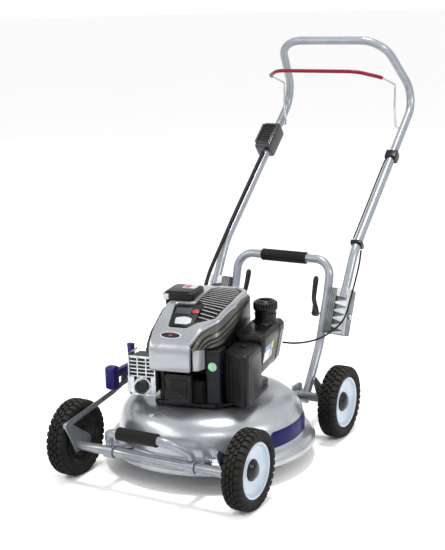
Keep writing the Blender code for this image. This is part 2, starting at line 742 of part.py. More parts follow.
def make_hood(build, engine):
    """The silver hood over the front and top of the engine, and the grille set in its opening."""
    top = [
        (-0.1920, 0.2820),
        (-0.1920, 0.3420),
        (-0.1820, 0.3620),
        (-0.1500, 0.3910),
        (-0.0600, 0.4290),
        (0.0200, 0.4385),
        (0.0900, 0.4415),
        (0.1300, 0.4350),
    ]
    under = [
        (0.1300, 0.4240),
        (0.0900, 0.4296),
        (0.0200, 0.4268),
        (-0.0600, 0.4172),
        (-0.1463, 0.3800),
        (-0.1733, 0.3555),
        (-0.1805, 0.3393),
        (-0.1805, 0.2820),
    ]
    hood = build.part("engine_cover", extruded(top + under, -0.098, 0.084, "x"), engine, "engine_silver")
    right_front = [(0.012, -0.21), (0.110, -0.21), (0.110, -0.03), (0.084, -0.03), (0.064, -0.110)]
    right_front += [(0.030, -0.150), (0.012, -0.185)]
    right_back = [(0.0845, 0.075), (0.12, 0.075), (0.12, 0.15), (0.015, 0.15), (0.015, 0.1305), (0.050, 0.115)]
    left_back = [(-0.0985, 0.080), (-0.075, 0.118), (-0.040, 0.1305), (-0.040, 0.15), (-0.13, 0.15), (-0.13, 0.080)]
    opening = [
        (-0.060, -0.146),
        (-0.010, -0.146),
        (0.010, -0.126),
        (0.052, -0.105),
        (0.068, -0.040),
        (0.070, 0.070),
        (0.040, 0.106),
        (-0.004, 0.106),
        (-0.020, 0.080),
        (-0.022, -0.040),
        (-0.030, -0.049),
        (-0.074, -0.049),
    ]
    for outline in (right_front, right_back, left_back, opening):
        build.cut(hood, extruded(outline, 0.27, 0.46, "z"))
    build.cut(hood, block((-0.130, -0.0295), (-0.0405, 0.0560), (0.40, 0.46)))
    grille = extruded(inset(opening, 0.0006), 0.370, 0.460, "z")
    insert = build.part("intake_grille", grille, engine, "black_plastic")
    sky = [(y, z - 0.003) for y, z in top[2:]] + [(0.130, 0.48), (-0.1820, 0.48)]
    build.cut(insert, extruded(sky, -0.10, 0.10, "x"))
    floor = [(y, z) for y, z in under[:6]] + [(-0.1733, 0.34), (0.130, 0.34)]
    build.cut(insert, extruded(floor, -0.10, 0.10, "x"))


def make_fuel_and_air(build, engine, cap_joint):
    """The air filter's cover, the fuel tank with its neck, and the tank's cap."""
    outline = [(0.0823, -0.130), (0.148, -0.170), (0.158, -0.160), (0.158, -0.0403), (0.0823, -0.0403)]
    cover = extruded(outline, 0.196, 0.335, "z")
    bmesh.ops.bevel(cover, geom=cover.edges[:], offset=0.007, segments=1, affect="EDGES")
    build.part("air_filter_cover", cover, engine, "black_plastic")
    outline = [
        (0.0823, 0.236),
        (0.1400, 0.236),
        (0.1480, 0.246),
        (0.1630, 0.325),
        (0.1630, 0.342),
        (0.1540, 0.352),
        (0.0823, 0.352),
    ]
    tank = extruded(outline, -0.040, 0.152, "y")
    fuel_tank = build.part("fuel_tank", tank, engine, "black_plastic")
    x, y, z = cap_joint["pivot"]
    build.weld(fuel_tank, rod(0.0235, (x, y, 0.345), (x, y, z - GAP), 16))
    cap = [(0, 0), (0.031, 0), (0.033, 0.006), (0.033, 0.024), (0.026, 0.029), (0, 0.029)]
    build.part("fuel_cap", turned(cap, (x, y, z), (0, 0, 1), 16, False), cap_joint, "black_plastic")


def make_exhaust(build, engine):
    """The muffler with its outlet, and the slotted guard round it."""
    muffler = block((-0.165, -0.0900), (-0.156, -0.0990), (0.214, 0.309), 0.006)
    box = build.part("muffler", muffler, engine, "bright_steel")
    build.weld(box, rod(0.0145, (-0.127, -0.150, 0.234), (-0.127, -0.176, 0.234), 14))
    wall = 0.0015
    low, high = (-0.1720, -0.0900), (-0.0900, -0.1680)
    outline = [
        low,
        (low[0], high[1] + 0.010),
        (low[0] + 0.010, high[1]),
        high,
        (high[0], high[1] + wall),
        (low[0] + 0.0106, high[1] + wall),
        (low[0] + wall, high[1] + 0.0106),
        (low[0] + wall, low[1]),
    ]
    guard = build.part("muffler_guard", extruded(outline, 0.209, 0.315, "z"), engine, "bright_steel")
    build.cut(guard, rod(0.0165, (-0.127, -0.160, 0.234), (-0.127, -0.175, 0.234), 14))


def make_battery(build, battery):
    """The starter battery, which slides out of its seat on the engine's left shoulder."""
    mesh = block((-0.116, -0.0301), (-0.0400, 0.0550), (0.4300, 0.4560), 0.006)
    build.part("battery", mesh, battery, "black_plastic")


def make_oil_filler(build, crankcase, cap_joint):
    """The oil filler's neck on the left of the crankcase, and its cap."""
    x, y, z = cap_joint["pivot"]
    neck = tube([(x + 0.060, y, 0.212), (x + 0.010, y, 0.226), (x, y, 0.245), (x, y, z - GAP)], 0.010, 10)
    build.weld(crankcase, neck)
    cap = [(0, 0), (0.016, 0), (0.016, 0.012), (0, 0.014)]
    build.part("oil_cap", turned(cap, (x, y, z), (0, 0, 1), 12, False), cap_joint, "black_plastic")


def make_rotor(build, crank):
    """What turns with the engine: shaft, flywheel, blade and what clamps them."""
    shaft = [(0, 0.078), (SHAFT_RADIUS, 0.078), (SHAFT_RADIUS, 0.290), (0.009, 0.290), (0.009, 0.338), (0, 0.338)]
    build.part("crankshaft", turned(shaft, (0, 0, 0), (0, 0, 1), 16, False), crank, "bright_steel")
    wheel = [(0.0096, 0.2905), (0.070, 0.2905), (0.070, 0.312), (0.062, 0.335), (0.030, 0.318), (0.0096, 0.318)]
    build.part("flywheel", turned(wheel, (0, 0, 0), (0, 0, 1), 24), crank, "cast_aluminium")
    hub = [(SHAFT_RADIUS + 0.0006, 0.0783), (0.032, 0.0783), (0.032, 0.084), (0.022, 0.090), (0.022, 0.118)]
    hub.append((SHAFT_RADIUS + 0.0006, 0.118))
    build.part("blade_hub", turned(hub, (0, 0, 0), (0, 0, 1), 20), crank, "cast_iron")
    half = 0.204
    outline = [(-half, -0.018), (-half + 0.012, -0.026), (half, -0.026), (half, 0.018), (half - 0.012, 0.026)]
    outline.append((-half, 0.026))
    blade = build.part("blade", extruded(outline, 0.0735, 0.0777, "z"), crank, "blade_steel")
    for side in (-1, 1):
        sail = [(side * 0.017, 0.0755), (side * 0.026, 0.0755), (side * 0.026, 0.0900), (side * 0.0235, 0.0900)]
        build.weld(blade, extruded(sail, *side_x(-side, (0.128, 0.190)), "x"))
    bolt = [(0, 0.0730), (0.0170, 0.0730), (0.0170, 0.0700), (0.0090, 0.0700), (0.0090, 0.0625), (0, 0.0625)]
    build.part("blade_bolt", turned(bolt, (0, 0, 0), (0, 0, 1), 12, False), crank, "bright_steel")


# ---- assembly ---------------------------------------------------------------------------------
def clear_scene():
    """Removes every object of the scene that this script opens in."""
    for old in list(bpy.data.objects):
        bpy.data.objects.remove(old, do_unlink=True)


def main():
    """Builds the whole machine."""
    clear_scene()
    build = Builder(make_materials())
    mower = add_joint("mower", (0.0, 0.0, 0.0))
    mower.location.y = -HALF_LENGTH_SHIFT
    chassis = add_joint("chassis", (0.0, 0.0, 0.0), mower)

    make_deck(build, chassis)
    make_axle_bearings(build, chassis)
    make_carry_handle(build, chassis)
    make_rear_frame(build, chassis)

    for name, pivot, wheel_y in (
        ("front", FRONT_PIVOT, -WHEELBASE / 2),
        ("rear", REAR_PIVOT, WHEELBASE / 2),
    ):
        axle = add_joint(f"{name}_axle_joint", (0.0, *pivot), chassis)
        make_axle(build, f"{name}_axle", axle, pivot, wheel_y)
        for label, side in SIDES:
            centre = (side * WHEEL_X, wheel_y, WHEEL_RADIUS)
            wheel = add_joint(f"{name}_{label}_wheel_joint", centre, axle)
            make_wheel(build, f"{name}_{label}", side, wheel, wheel_y)
        if name == "front":
            pin = (LINK_X[1], pivot[0] + CRANK_PIN[0], pivot[1] + CRANK_PIN[1])
            link = add_joint("link_joint", pin, axle)
    make_link(build, link)
    trigger = add_joint("trigger_joint", (LINK_X[1], *TRIGGER_PIVOT), link)
    make_height_control(build, link, trigger, chassis)

    handle = add_joint("handle_joint", (0.0, *FOLD_PIVOT), chassis)
    make_handlebar(build, handle)
    make_leg_fittings(build, handle)
    make_fold_brackets(build, chassis, handle)
    for label, side in SIDES:
        lever = add_joint(f"lever_{label}_joint", (side * 0.1240, *FOLD_PIVOT), chassis)
        make_clamp_lever(build, label, side, lever)
    make_bail(build, add_joint("bail_joint", (0.0, *BAIL_PIVOT), handle))
    make_cables(build, chassis, handle)

    engine = add_joint("engine", (0.0, 0.0, 0.0), chassis, ENGINE_TURN)
    crankcase = make_engine_body(build, engine)
    make_fuel_and_air(build, engine, add_joint("fuel_cap_joint", (0.125, 0.096, 0.385), engine))
    make_exhaust(build, engine)
    make_battery(build, add_joint("battery_joint", (-0.073, 0.007, 0.4300), engine))
    make_oil_filler(build, crankcase, add_joint("oil_cap_joint", (-0.134, 0.050, 0.300), engine))
    make_rotor(build, add_joint("crank_joint", (0.0, 0.0, 0.0), chassis))


main()
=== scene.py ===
"""Studio model of a petrol walk-behind rotary mower.

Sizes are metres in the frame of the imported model, +Z up and the front of the machine towards -Y.
The mower's own points are written from the middle of its wheelbase, and the engine's from the axis
of its crankshaft, on which the engine stands turned. Base.moved() brings both into the world.
"""

import logging
import math
from dataclasses import dataclass, field
from enum import Enum

import bmesh
import bpy
import numpy as np
from mathutils import Matrix, Vector


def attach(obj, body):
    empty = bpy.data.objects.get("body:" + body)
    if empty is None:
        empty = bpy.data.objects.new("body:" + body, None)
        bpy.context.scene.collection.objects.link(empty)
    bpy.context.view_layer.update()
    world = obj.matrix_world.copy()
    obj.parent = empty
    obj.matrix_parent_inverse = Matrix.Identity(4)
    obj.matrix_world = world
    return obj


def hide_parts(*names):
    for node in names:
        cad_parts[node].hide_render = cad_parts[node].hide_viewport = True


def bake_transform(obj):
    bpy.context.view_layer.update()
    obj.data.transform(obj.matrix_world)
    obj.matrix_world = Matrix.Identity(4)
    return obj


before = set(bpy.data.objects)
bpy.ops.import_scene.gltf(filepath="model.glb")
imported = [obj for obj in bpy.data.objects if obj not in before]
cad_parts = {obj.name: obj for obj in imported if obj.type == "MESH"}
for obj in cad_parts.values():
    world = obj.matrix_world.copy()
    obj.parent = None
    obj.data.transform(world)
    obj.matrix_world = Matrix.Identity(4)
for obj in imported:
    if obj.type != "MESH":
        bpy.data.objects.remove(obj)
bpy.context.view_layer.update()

logging.basicConfig(level=logging.INFO, format="%(message)s")
LOG = logging.getLogger("mower")

Array = np.ndarray
TAU = math.tau
WHEELBASE_SHIFT = -0.2799
ENGINE_TURN = math.radians(10.0)
COAT_ROUGHNESS = 0.12
REFRACTION = 1.5
DUST_COLOUR = "A39A8B"
WELD_DISTANCE = 2e-6
SPECK_LENGTH = 1e-7
SOLID_WELD = 1e-5
FLAT_LIMIT = math.radians(1.0)
CORNER_LIMIT = math.radians(34)
FLOOR_RADIUS = 60.0
SIDES: tuple[tuple[str, int], ...] = (("left", -1), ("right", 1))


class Base(Enum):
    """The frame that a piece's points are written in."""

    MACHINE = 0.0
    ENGINE = ENGINE_TURN

    def moved(self, points: Array) -> Array:
        """Turns points of this frame about the crankshaft and moves them into the world.

        Args:
            points: Rows of x, y and z.

        Returns:
            The same rows in the world.
        """
        c, s = math.cos(self.value), math.sin(self.value)
        turn = np.array([[c, s, 0.0], [-s, c, 0.0], [0.0, 0.0, 1.0]])
        return points @ turn + np.array([0.0, WHEELBASE_SHIFT, 0.0])


# ---- finishes ---------------------------------------------------------------------------------
def linear(code: str) -> tuple[float, float, float, float]:
    """Turns an sRGB hex code to linear colour.

    Args:
        code: Six hex digits.

    Returns:
        Red, green, blue and an alpha of one.
    """
    values = np.array([int(code[i : i + 2], 16) / 255 for i in (0, 2, 4)])
    low = values / 12.92
    high = ((values + 0.055) / 1.055) ** 2.4
    red, green, blue = np.where(values <= 0.04045, low, high)
    return float(red), float(green), float(blue), 1.0


def add_node(tree: bpy.types.NodeTree, kind: str, inputs: dict | None = None, **settings: object) -> bpy.types.Node:
    """Adds one shader node.

    Args:
        tree: The node tree that it joins.
        kind: The node's type, without the ShaderNode in front.
        inputs: Values by input name or number. An output socket is linked, anything else is set.
        **settings: The node's own properties.

    Returns:
        The new node.
    """
    node = tree.nodes.new("ShaderNode" + kind)
    for key, value in settings.items():
        setattr(node, key, value)
    for key, value in (inputs or {}).items():
        if isinstance(value, bpy.types.NodeSocket):
            tree.links.new(value, node.inputs[key])
        else:
            node.inputs[key].default_value = value
    return node


class Surface(Enum):
    """How a surface was made, which decides the pattern that its finish carries."""

    SPRAYED = "sprayed"
    MOULDED = "moulded"
    CAST = "cast"
    DRAWN = "drawn"
    PLATED = "plated"
    TEXTURED = "textured"
    PRINTED = "printed"


@dataclass(frozen=True)
class Finish:
    """One material: what it is, how it was made, and what that gives the eye.

    Attributes:
        name: The material's name.
        colour: Its main sRGB colour.
        shade: The sRGB colour that it drifts to over its mottling.
        surface: How it was made.
        roughness: The middle of its roughness.
        spread: How far the roughness drifts either way.
        metallic: One for bare metal.
        coat: Weight of a clear coat over it.
        grain_mm: Width of its finest grain.
        relief_mm: Height of that grain.
        mottle_mm: Width of its slow drift in colour.
        dust: Share of dull dust on what faces up.
        long_axis: The axis that a drawn surface's marks run along.
        specular: Strength of its plain reflection, half for an ordinary plastic.
    """

    name: str
    colour: str
    shade: str
    surface: Surface
    roughness: float
    spread: float = 0.05
    metallic: float = 0.0
    coat: float = 0.0
    grain_mm: float = 1.0
    relief_mm: float = 0.05
    mottle_mm: float = 60.0
    dust: float = 0.0
    long_axis: int = 0
    specular: float = 0.5

    def material(self) -> bpy.types.Material:
        """Builds the material once, and gives the same one after that."""
        known = bpy.data.materials.get(self.name)
        return known or self._build()

    def _build(self) -> bpy.types.Material:
        """Builds the node tree: slow mottling in the colour, grain in the roughness and the relief."""
        made = bpy.data.materials.new(self.name)
        made.use_nodes = True
        tree = made.node_tree
        shader = tree.nodes["Principled BSDF"]
        shader.inputs["Metallic"].default_value = self.metallic
        shader.inputs["Coat Weight"].default_value = self.coat
        shader.inputs["Coat Roughness"].default_value = COAT_ROUGHNESS
        shader.inputs["IOR"].default_value = REFRACTION
        shader.inputs["Specular IOR Level"].default_value = self.specular
        place = add_node(tree, "TexCoord").outputs["Object"]
        mottle = add_node(tree, "TexNoise", {"Vector": place, "Scale": 1000 / self.mottle_mm, "Detail": 3.0})
        drift = add_node(tree, "MapRange", {0: mottle.outputs["Fac"], 1: 0.35, 2: 0.68, 3: 0.0, 4: 1.0})
        grain = self._grain(tree, place)
        mixed = add_node(tree, "Mix", {0: drift.outputs[0], 6: linear(self.colour), 7: linear(self.shade)},
            data_type="RGBA")
        fine = add_node(tree, "MapRange", {0: grain, 1: 0.25, 2: 0.75, 3: 0.0, 4: 0.5})
        colour = add_node(tree, "Mix", {0: fine.outputs[0], 6: mixed.outputs[2], 7: linear(self.shade)},
            data_type="RGBA").outputs[2]
        if self.dust:
            up = add_node(tree, "SeparateXYZ", {0: add_node(tree, "NewGeometry").outputs["Normal"]})
            film = add_node(tree, "MapRange", {0: up.outputs[2], 1: -0.2, 2: 1.0, 3: 0.0, 4: self.dust})
            cloud = add_node(tree, "Math", {0: film.outputs[0], 1: mottle.outputs["Fac"]}, operation="MULTIPLY")
            colour = add_node(tree, "Mix", {0: cloud.outputs[0], 6: colour, 7: linear(DUST_COLOUR)},
                data_type="RGBA").outputs[2]
        tree.links.new(colour, shader.inputs["Base Color"])
        both = add_node(tree, "Math", {0: mottle.outputs["Fac"], 1: grain}, operation="ADD")
        limits = {0: both.outputs[0], 1: 0.6, 2: 1.4, 3: self.roughness - self.spread,
            4: self.roughness + self.spread}
        tree.links.new(add_node(tree, "MapRange", limits).outputs[0], shader.inputs["Roughness"])
        bump = add_node(tree, "Bump", {"Height": grain, "Strength": 1.0, "Distance": self.relief_mm / 1000})
        tree.links.new(bump.outputs["Normal"], shader.inputs["Normal"])
        return made

    def _grain(self, tree: bpy.types.NodeTree, place: bpy.types.NodeSocket) -> bpy.types.NodeSocket:
        """The fine pattern of the surface, as a height from zero to one.

        Args:
            tree: The material's node tree.
            place: Object coordinates.

        Returns:
            The socket that holds the height.
        """
        scale = 1000 / self.grain_mm
        if self.surface is Surface.DRAWN:
            along = [1.0, 1.0, 1.0]
            along[self.long_axis] = 0.04
            lines = add_node(tree, "Mapping", {"Vector": place, "Scale": along})
            made = add_node(tree, "TexNoise", {"Vector": lines.outputs[0], "Scale": scale, "Detail": 4.0})
            return made.outputs["Fac"]
        if self.surface is Surface.PLATED:
            cells = add_node(tree, "TexVoronoi", {"Vector": place, "Scale": scale})
            return add_node(tree, "SeparateColor", {0: cells.outputs["Color"]}).outputs[0]
        if self.surface in (Surface.MOULDED, Surface.TEXTURED):
            cells = add_node(tree, "TexVoronoi", {"Vector": place, "Scale": scale}, feature="SMOOTH_F1")
            cells.inputs["Smoothness"].default_value = 0.4
            return cells.outputs["Distance"]
        detail = 6.0 if self.surface is Surface.CAST else 2.0
        return add_node(tree, "TexNoise", {"Vector": place, "Scale": scale, "Detail": detail}).outputs["Fac"]


# Deck: sheet steel under sprayed metallic lacquer. Fine flake and a faint orange peel, glossy clear coat.
DECK_LACQUER = Finish("Steel, metallic silver lacquer", "A9ABAF", "8E9196", Surface.SPRAYED, 0.29, 0.04, 0.78, 0.25,
    1.6, 0.004, 90.0)
# Tubes: powder-coated steel. A satin grey with a fine pebble that blurs reflections along the tube.
TUBE_POWDER = Finish("Steel tube, silver powder coat", "83878F", "747880", Surface.SPRAYED, 0.34, 0.05, 0.45, 0.2,
    1.2, 0.03, 70.0)
# Cranks, axles and link: zinc-plated steel, with the small dull spangles of the bath.
ZINC = Finish("Steel, zinc plated", "8B8E92", "74777B", Surface.PLATED, 0.33, 0.05, 0.9, 0.0, 2.6, 0.01, 35.0)
# Bolts, muffler guard, wires: drawn bright steel, with fine lines along it.
BRIGHT_STEEL = Finish("Steel, bright drawn", "C3C6C9", "A0A4A9", Surface.DRAWN, 0.24, 0.07, 1.0, 0.0, 0.9, 0.01, 20.0)
# Muffler behind its guard: steel gone dark grey with heat, dull and uneven.
HOT_STEEL = Finish("Steel, heat stained", "4C4A47", "2F2D2B", Surface.CAST, 0.52, 0.10, 0.9, 0.0, 2.2, 0.03, 22.0)
# Crankcase, cylinder and fold brackets: die-cast aluminium, a matt grey skin with sandy grain.
CAST_ALUMINIUM = Finish("Aluminium, die cast", "B6B8B9", "999B9D", Surface.CAST, 0.50, 0.08, 0.75, 0.0, 1.3, 0.07,
    25.0)
# The inner bracket halves: the same casting, darkened as painted shade.
CASTING_PAINTED_SHADE = Finish("Aluminium, die cast, painted shade", "77797B", "5B5D60", Surface.CAST, 0.55, 0.08, 0.6, 0.0, 1.3,
    0.08, 25.0)
# Blade hub: sand-cast iron, nearly black.
CAST_IRON = Finish("Iron, sand cast", "161616", "0F0F0F", Surface.CAST, 0.62, 0.08, 0.7, 0.0, 1.8, 0.12, 30.0)
# Blade: heat-treated spring steel with a thin dark scale.
BLADE_STEEL = Finish("Spring steel, hardened", "55565A", "3D3C3D", Surface.DRAWN, 0.44, 0.09, 0.9, 0.0, 1.4, 0.03,
    45.0)
# Tyres: vulcanised rubber, matt, with a fine skin and some dust in the tread.
TYRE_RUBBER = Finish("Rubber, vulcanised tread", "070708", "0C0C0D", Surface.TEXTURED, 0.74, 0.07, 0.0, 0.0, 1.5,
    0.06, 40.0, 0.10, specular=0.14)
# Rims: injection-moulded polypropylene in a cold blue white, softly glossy.
RIM_PLASTIC = Finish("Polypropylene, blue white", "A2ADB8", "909CA8", Surface.MOULDED, 0.30, 0.06, 0.0, 0.15, 1.6,
    0.02, 50.0, specular=0.4)
# Hub caps: black ABS with a soft gloss.
CAP_PLASTIC = Finish("ABS, polished black", "040405", "070708", Surface.MOULDED, 0.26, 0.04, 0.0, 0.05, 2.0, 0.005,
    40.0, specular=0.25)
# Grips: soft moulded rubber, a closed matt skin.
GRIP_RUBBER = Finish("Thermoplastic rubber, moulded", "050506", "0A0A0B", Surface.TEXTURED, 0.60, 0.07, 0.0, 0.0, 1.2,
    0.05, 30.0, specular=0.16)
# Engine plastics: glass-filled nylon with a fine spark-eroded grain.
BLACK_NYLON = Finish("Nylon, black, grained", "050506", "09090A", Surface.MOULDED, 0.28, 0.08, 0.0, 0.0, 0.9, 0.05,
    45.0, specular=0.24)
# Switch housing: black ABS with a low gloss, so that its ribs catch the light.
SWITCH_PLASTIC = Finish("ABS, black, low gloss", "070708", "0B0B0C", Surface.MOULDED, 0.30, 0.06, 0.0, 0.1, 0.9, 0.03,
    30.0, specular=0.5)
# Filter cover: the same nylon, rubbed a little browner where hands open it.
FILTER_NYLON = Finish("Nylon, black brown, grained", "090808", "100F0F", Surface.MOULDED, 0.34, 0.08, 0.0, 0.0, 1.0,
    0.05, 60.0, specular=0.2)
# Panel beside the cylinder: dark grey nylon.
GREY_NYLON = Finish("Nylon, slate grey", "15171A", "101215", Surface.MOULDED, 0.42, 0.07, 0.0, 0.0, 0.9, 0.04, 40.0,
    specular=0.22)
# Slats behind the hood: dark warm grey paint, satin.
WARM_GREY = Finish("ABS, warm grey satin paint", "48443D", "312E29", Surface.SPRAYED, 0.36, 0.06, 0.35, 0.1, 1.2,
    0.02, 50.0)
# Upper edges of the louvres: light grey, a painted highlight, so that they read as thin bright lines over the black
# opening.
LOUVRE_PAINTED_HIGHLIGHT = Finish("ABS, louvre edges, painted highlight", "DADAD8", "B4B4B2", Surface.SPRAYED, 0.28, 0.06, 0.3, 0.2,
    1.2, 0.02, 9.0)
# Hood: ABS under silver paint, the smoothest surface on the machine.
HOOD_SILVER = Finish("ABS, silver satin paint", "9A9CA0", "85878C", Surface.SPRAYED, 0.25, 0.04, 0.55, 0.35, 1.1,
    0.008, 110.0)
# Height grip and trigger: blue-violet moulded polypropylene.
BLUE_PLASTIC = Finish("Polypropylene, blue violet", "151157", "110D47", Surface.MOULDED, 0.38, 0.07, 0.0, 0.0, 1.2,
    0.04, 30.0, specular=0.25)
# Sleeve of the stop bar: red PVC, drawn tight over the wire.
RED_VINYL = Finish("Vinyl sleeve, red", "70021A", "5C0216", Surface.MOULDED, 0.34, 0.06, 0.0, 0.0, 1.4, 0.02, 30.0,
    specular=0.2)
# Cable jackets: extruded black PVC, with faint lines along it.
CABLE_VINYL = Finish("Vinyl cable jacket, black", "050506", "09090A", Surface.DRAWN, 0.48, 0.08, 0.0, 0.0, 1.5, 0.02,
    30.0, 0.0, 1, specular=0.15)
# Blank labels: printed film.
WHITE_FILM = Finish("Film label, white", "DEDFDD", "C9CBCB", Surface.PRINTED, 0.32, 0.05, 0.0, 0.2, 0.8, 0.004, 30.0)
GREY_FILM = Finish("Film label, silver grey", "B4B6B9", "9C9FA3", Surface.PRINTED, 0.30, 0.05, 0.3, 0.2, 0.8, 0.004,
    20.0)
SLATE_FILM = Finish("Film label, slate", "33353A", "27292D", Surface.PRINTED, 0.30, 0.05, 0.3, 0.2, 0.8, 0.004, 12.0)
RED_FILM = Finish("Film label, red", "98101F", "7F0D1A", Surface.PRINTED, 0.30, 0.05, 0.0, 0.2, 0.8, 0.004, 20.0)
BLUE_FILM = Finish("Film label, pale blue", "5F80B8", "4C6CA4", Surface.PRINTED, 0.32, 0.05, 0.0, 0.2, 0.8, 0.004,
    20.0)
YELLOW_FILM = Finish("Film label, straw yellow", "C2B83E", "A89F33", Surface.PRINTED, 0.34, 0.05, 0.0, 0.2, 0.8,
    0.004, 20.0)
GREEN_FILM = Finish("Film label, pale green", "9CC7A5", "76AA83", Surface.PRINTED, 0.30, 0.05, 0.0, 0.2, 3.0, 0.004,
    6.0)
VIOLET_FILM = Finish("Film stripe, blue violet", "14114C", "100D3E", Surface.PRINTED, 0.34, 0.05, 0.0, 0.0, 0.8,
    0.004, 60.0, specular=0.1)
SOOT = Finish("Soot in the outlet", "0E0D0D", "181615", Surface.CAST, 0.85, 0.06, 0.0, 0.0, 1.5, 0.05, 12.0)


# ---- surfaces ---------------------------------------------------------------------------------
@dataclass
class Shell:
    """A closed surface: its points and its faces.

    Attributes:
        points: Rows of x, y and z.
        faces: Point numbers of each face.
    """

    points: Array
    faces: list[list[int]]

    def outward(self) -> "Shell":
        """Turns the faces round where the enclosed volume comes out negative."""
        first = np.array([f[0] for f in self.faces for _ in f[2:]])
        second = np.array([i for f in self.faces for i in f[1:-1]])
        third = np.array([i for f in self.faces for i in f[2:]])
        p = self.points - self.points.mean(axis=0)
        volume = np.einsum("ij,ij->i", p[first], np.cross(p[second], p[third])).sum()
        if volume < 0:
            self.faces = [face[::-1] for face in self.faces]
        return self


def merged(shells: list[Shell]) -> Shell:
    """Puts several shells into one.

    Args:
        shells: The shells, in any order.

    Returns:
        One shell that holds all of them.
    """
    starts = np.cumsum([0] + [len(s.points) for s in shells])
    faces = [[i + int(start) for i in face] for start, s in zip(starts, shells) for face in s.faces]
    return Shell(np.concatenate([s.points for s in shells]), faces)


def grid_shell(points: Array, wrap_rows: bool = False, caps: bool = True) -> Shell:
    """Joins a grid of points whose columns close on themselves.

    Point (i, j) is joined to (i + 1, j) and (i, j + 1). The first and last rows are capped unless the
    rows wrap as well.

    Args:
        points: A grid of rows, columns and coordinates.
        wrap_rows: Whether the last row joins the first.
        caps: Whether the end rows are closed by a face.

    Returns:
        The shell, facing out.
    """
    rows, columns = points.shape[:2]
    number = np.arange(rows * columns).reshape(rows, columns)
    below = number if wrap_rows else number[:-1]
    above = np.roll(number, -1, axis=0) if wrap_rows else number[1:]
    quads = np.stack([below, np.roll(below, -1, axis=1), np.roll(above, -1, axis=1), above], axis=-1)
    faces = quads.reshape(-1, 4).tolist()
    if caps and not wrap_rows:
        faces += [number[0][::-1].tolist(), number[-1].tolist()]
    return Shell(points.reshape(-1, 3), faces).outward()


def filleted(corners: list[tuple[float, ...]], radii: list[float], steps: int = 6, closed: bool = True) -> Array:
    """Rounds the corners of a line: each corner becomes an arc tangent to both of its sides.

    Args:
        corners: The corner points, of two or three coordinates.
        radii: The radius at each corner; at each inner corner where the line is open.
        steps: Spans of each arc.
        closed: Whether the line closes on itself.

    Returns:
        The rounded line's points.
    """
    given = [Vector(c) if len(c) == 3 else Vector((*c, 0.0)) for c in corners]
    count = len(given)
    line: list[Vector] = [] if closed else [given[0]]
    turns = range(count) if closed else range(1, count - 1)
    for radius, i in zip(radii, turns):
        before, corner, after = given[i - 1], given[i], given[(i + 1) % count]
        back, on = before - corner, after - corner
        half = back.angle(on) / 2
        reach = min(radius / math.tan(half), 0.49 * back.length, 0.49 * on.length)
        real = reach * math.tan(half)
        centre = corner + (back.normalized() + on.normalized()).normalized() * real / math.sin(half)
        first, last = corner + back.normalized() * reach - centre, corner + on.normalized() * reach - centre
        line += [centre + first.slerp(last, k / steps).normalized() * real for k in range(steps + 1)]
    if not closed:
        line.append(given[-1])
    return np.array(line)[:, : len(corners[0])]


def inset(outline: Array, distance: float) -> Array:
    """Moves a counter-clockwise outline inwards, each corner along the line between its sides' normals."""
    before = outline - np.roll(outline, 1, axis=0)
    after = np.roll(outline, -1, axis=0) - outline
    before /= np.linalg.norm(before, axis=1, keepdims=True)
    after /= np.linalg.norm(after, axis=1, keepdims=True)
    into = np.stack([-before[:, 1] - after[:, 1], before[:, 0] + after[:, 0]], axis=1)
    return outline + into * (distance / (1 + (before * after).sum(axis=1)))[:, None]


def slab(outline: Array, low: float, high: float, axis: str = "z", edge: float = 0.001, steps: int = 3) -> Shell:
    """A plate with rounded rims: the outline, inset by a quarter circle's sine, stands at its cosine's height.

    Args:
        outline: Counter-clockwise points in the other two axes, in x, y, z order.
        low: Where the plate begins along the axis.
        high: Where it ends.
        axis: The axis that it is extruded along.
        edge: Radius of the rounded rims.
        steps: Spans of that quarter circle.

    Returns:
        The closed plate.
    """
    area = np.sum(outline[:, 0] * np.roll(outline[:, 1], -1) - np.roll(outline[:, 0], -1) * outline[:, 1])
    outline = outline if area > 0 else outline[::-1]
    quarter = np.linspace(0, math.pi / 2, steps + 1)
    depth = edge * (1 - np.sin(quarter))
    rise = edge * (1 - np.cos(quarter))
    rings = [(d, low + r) for d, r in zip(depth, rise)] + [(d, high - r) for d, r in zip(depth[::-1], rise[::-1])]
    order = {"x": (2, 0, 1), "y": (0, 2, 1), "z": (0, 1, 2)}[axis]
    grid = np.stack([np.column_stack([inset(outline, d), np.full(len(outline), h)])[:, order] for d, h in rings])
    return grid_shell(grid)


def box_outline(a: tuple[float, float], b: tuple[float, float], radius: float, steps: int = 4) -> Array:
    """A rectangle with rounded corners, from its (low, high) pairs."""
    corners = [(a[0], b[0]), (a[1], b[0]), (a[1], b[1]), (a[0], b[1])]
    return filleted(corners, [radius] * 4, steps)


def revolved(profile: Array, centre: tuple[float, float, float], axis: tuple[float, float, float], segments: int = 48,
    closed: bool = False) -> Shell:
    """Turns a profile about an axis: a point at radius r and height h goes to centre + h axis + r (cos, sin).

    Args:
        profile: Rows of radius and height.
        centre: A point of the axis, where the height is zero.
        axis: The axis, of length one.
        segments: Steps round it.
        closed: Whether the profile closes on itself, as a ring's does.

    Returns:
        The closed shell.
    """
    up = Vector(axis)
    out = np.array(up.orthogonal().normalized())
    side = np.cross(np.array(up), out)
    angle = np.linspace(0, TAU, segments, endpoint=False)
    spoke = np.cos(angle)[:, None] * out + np.sin(angle)[:, None] * side
    profile = np.asarray(profile, float)
    grid = np.array(centre) + profile[:, 1][:, None, None] * np.array(up) + profile[:, 0][:, None, None] * spoke[None]
    return grid_shell(grid, wrap_rows=closed)


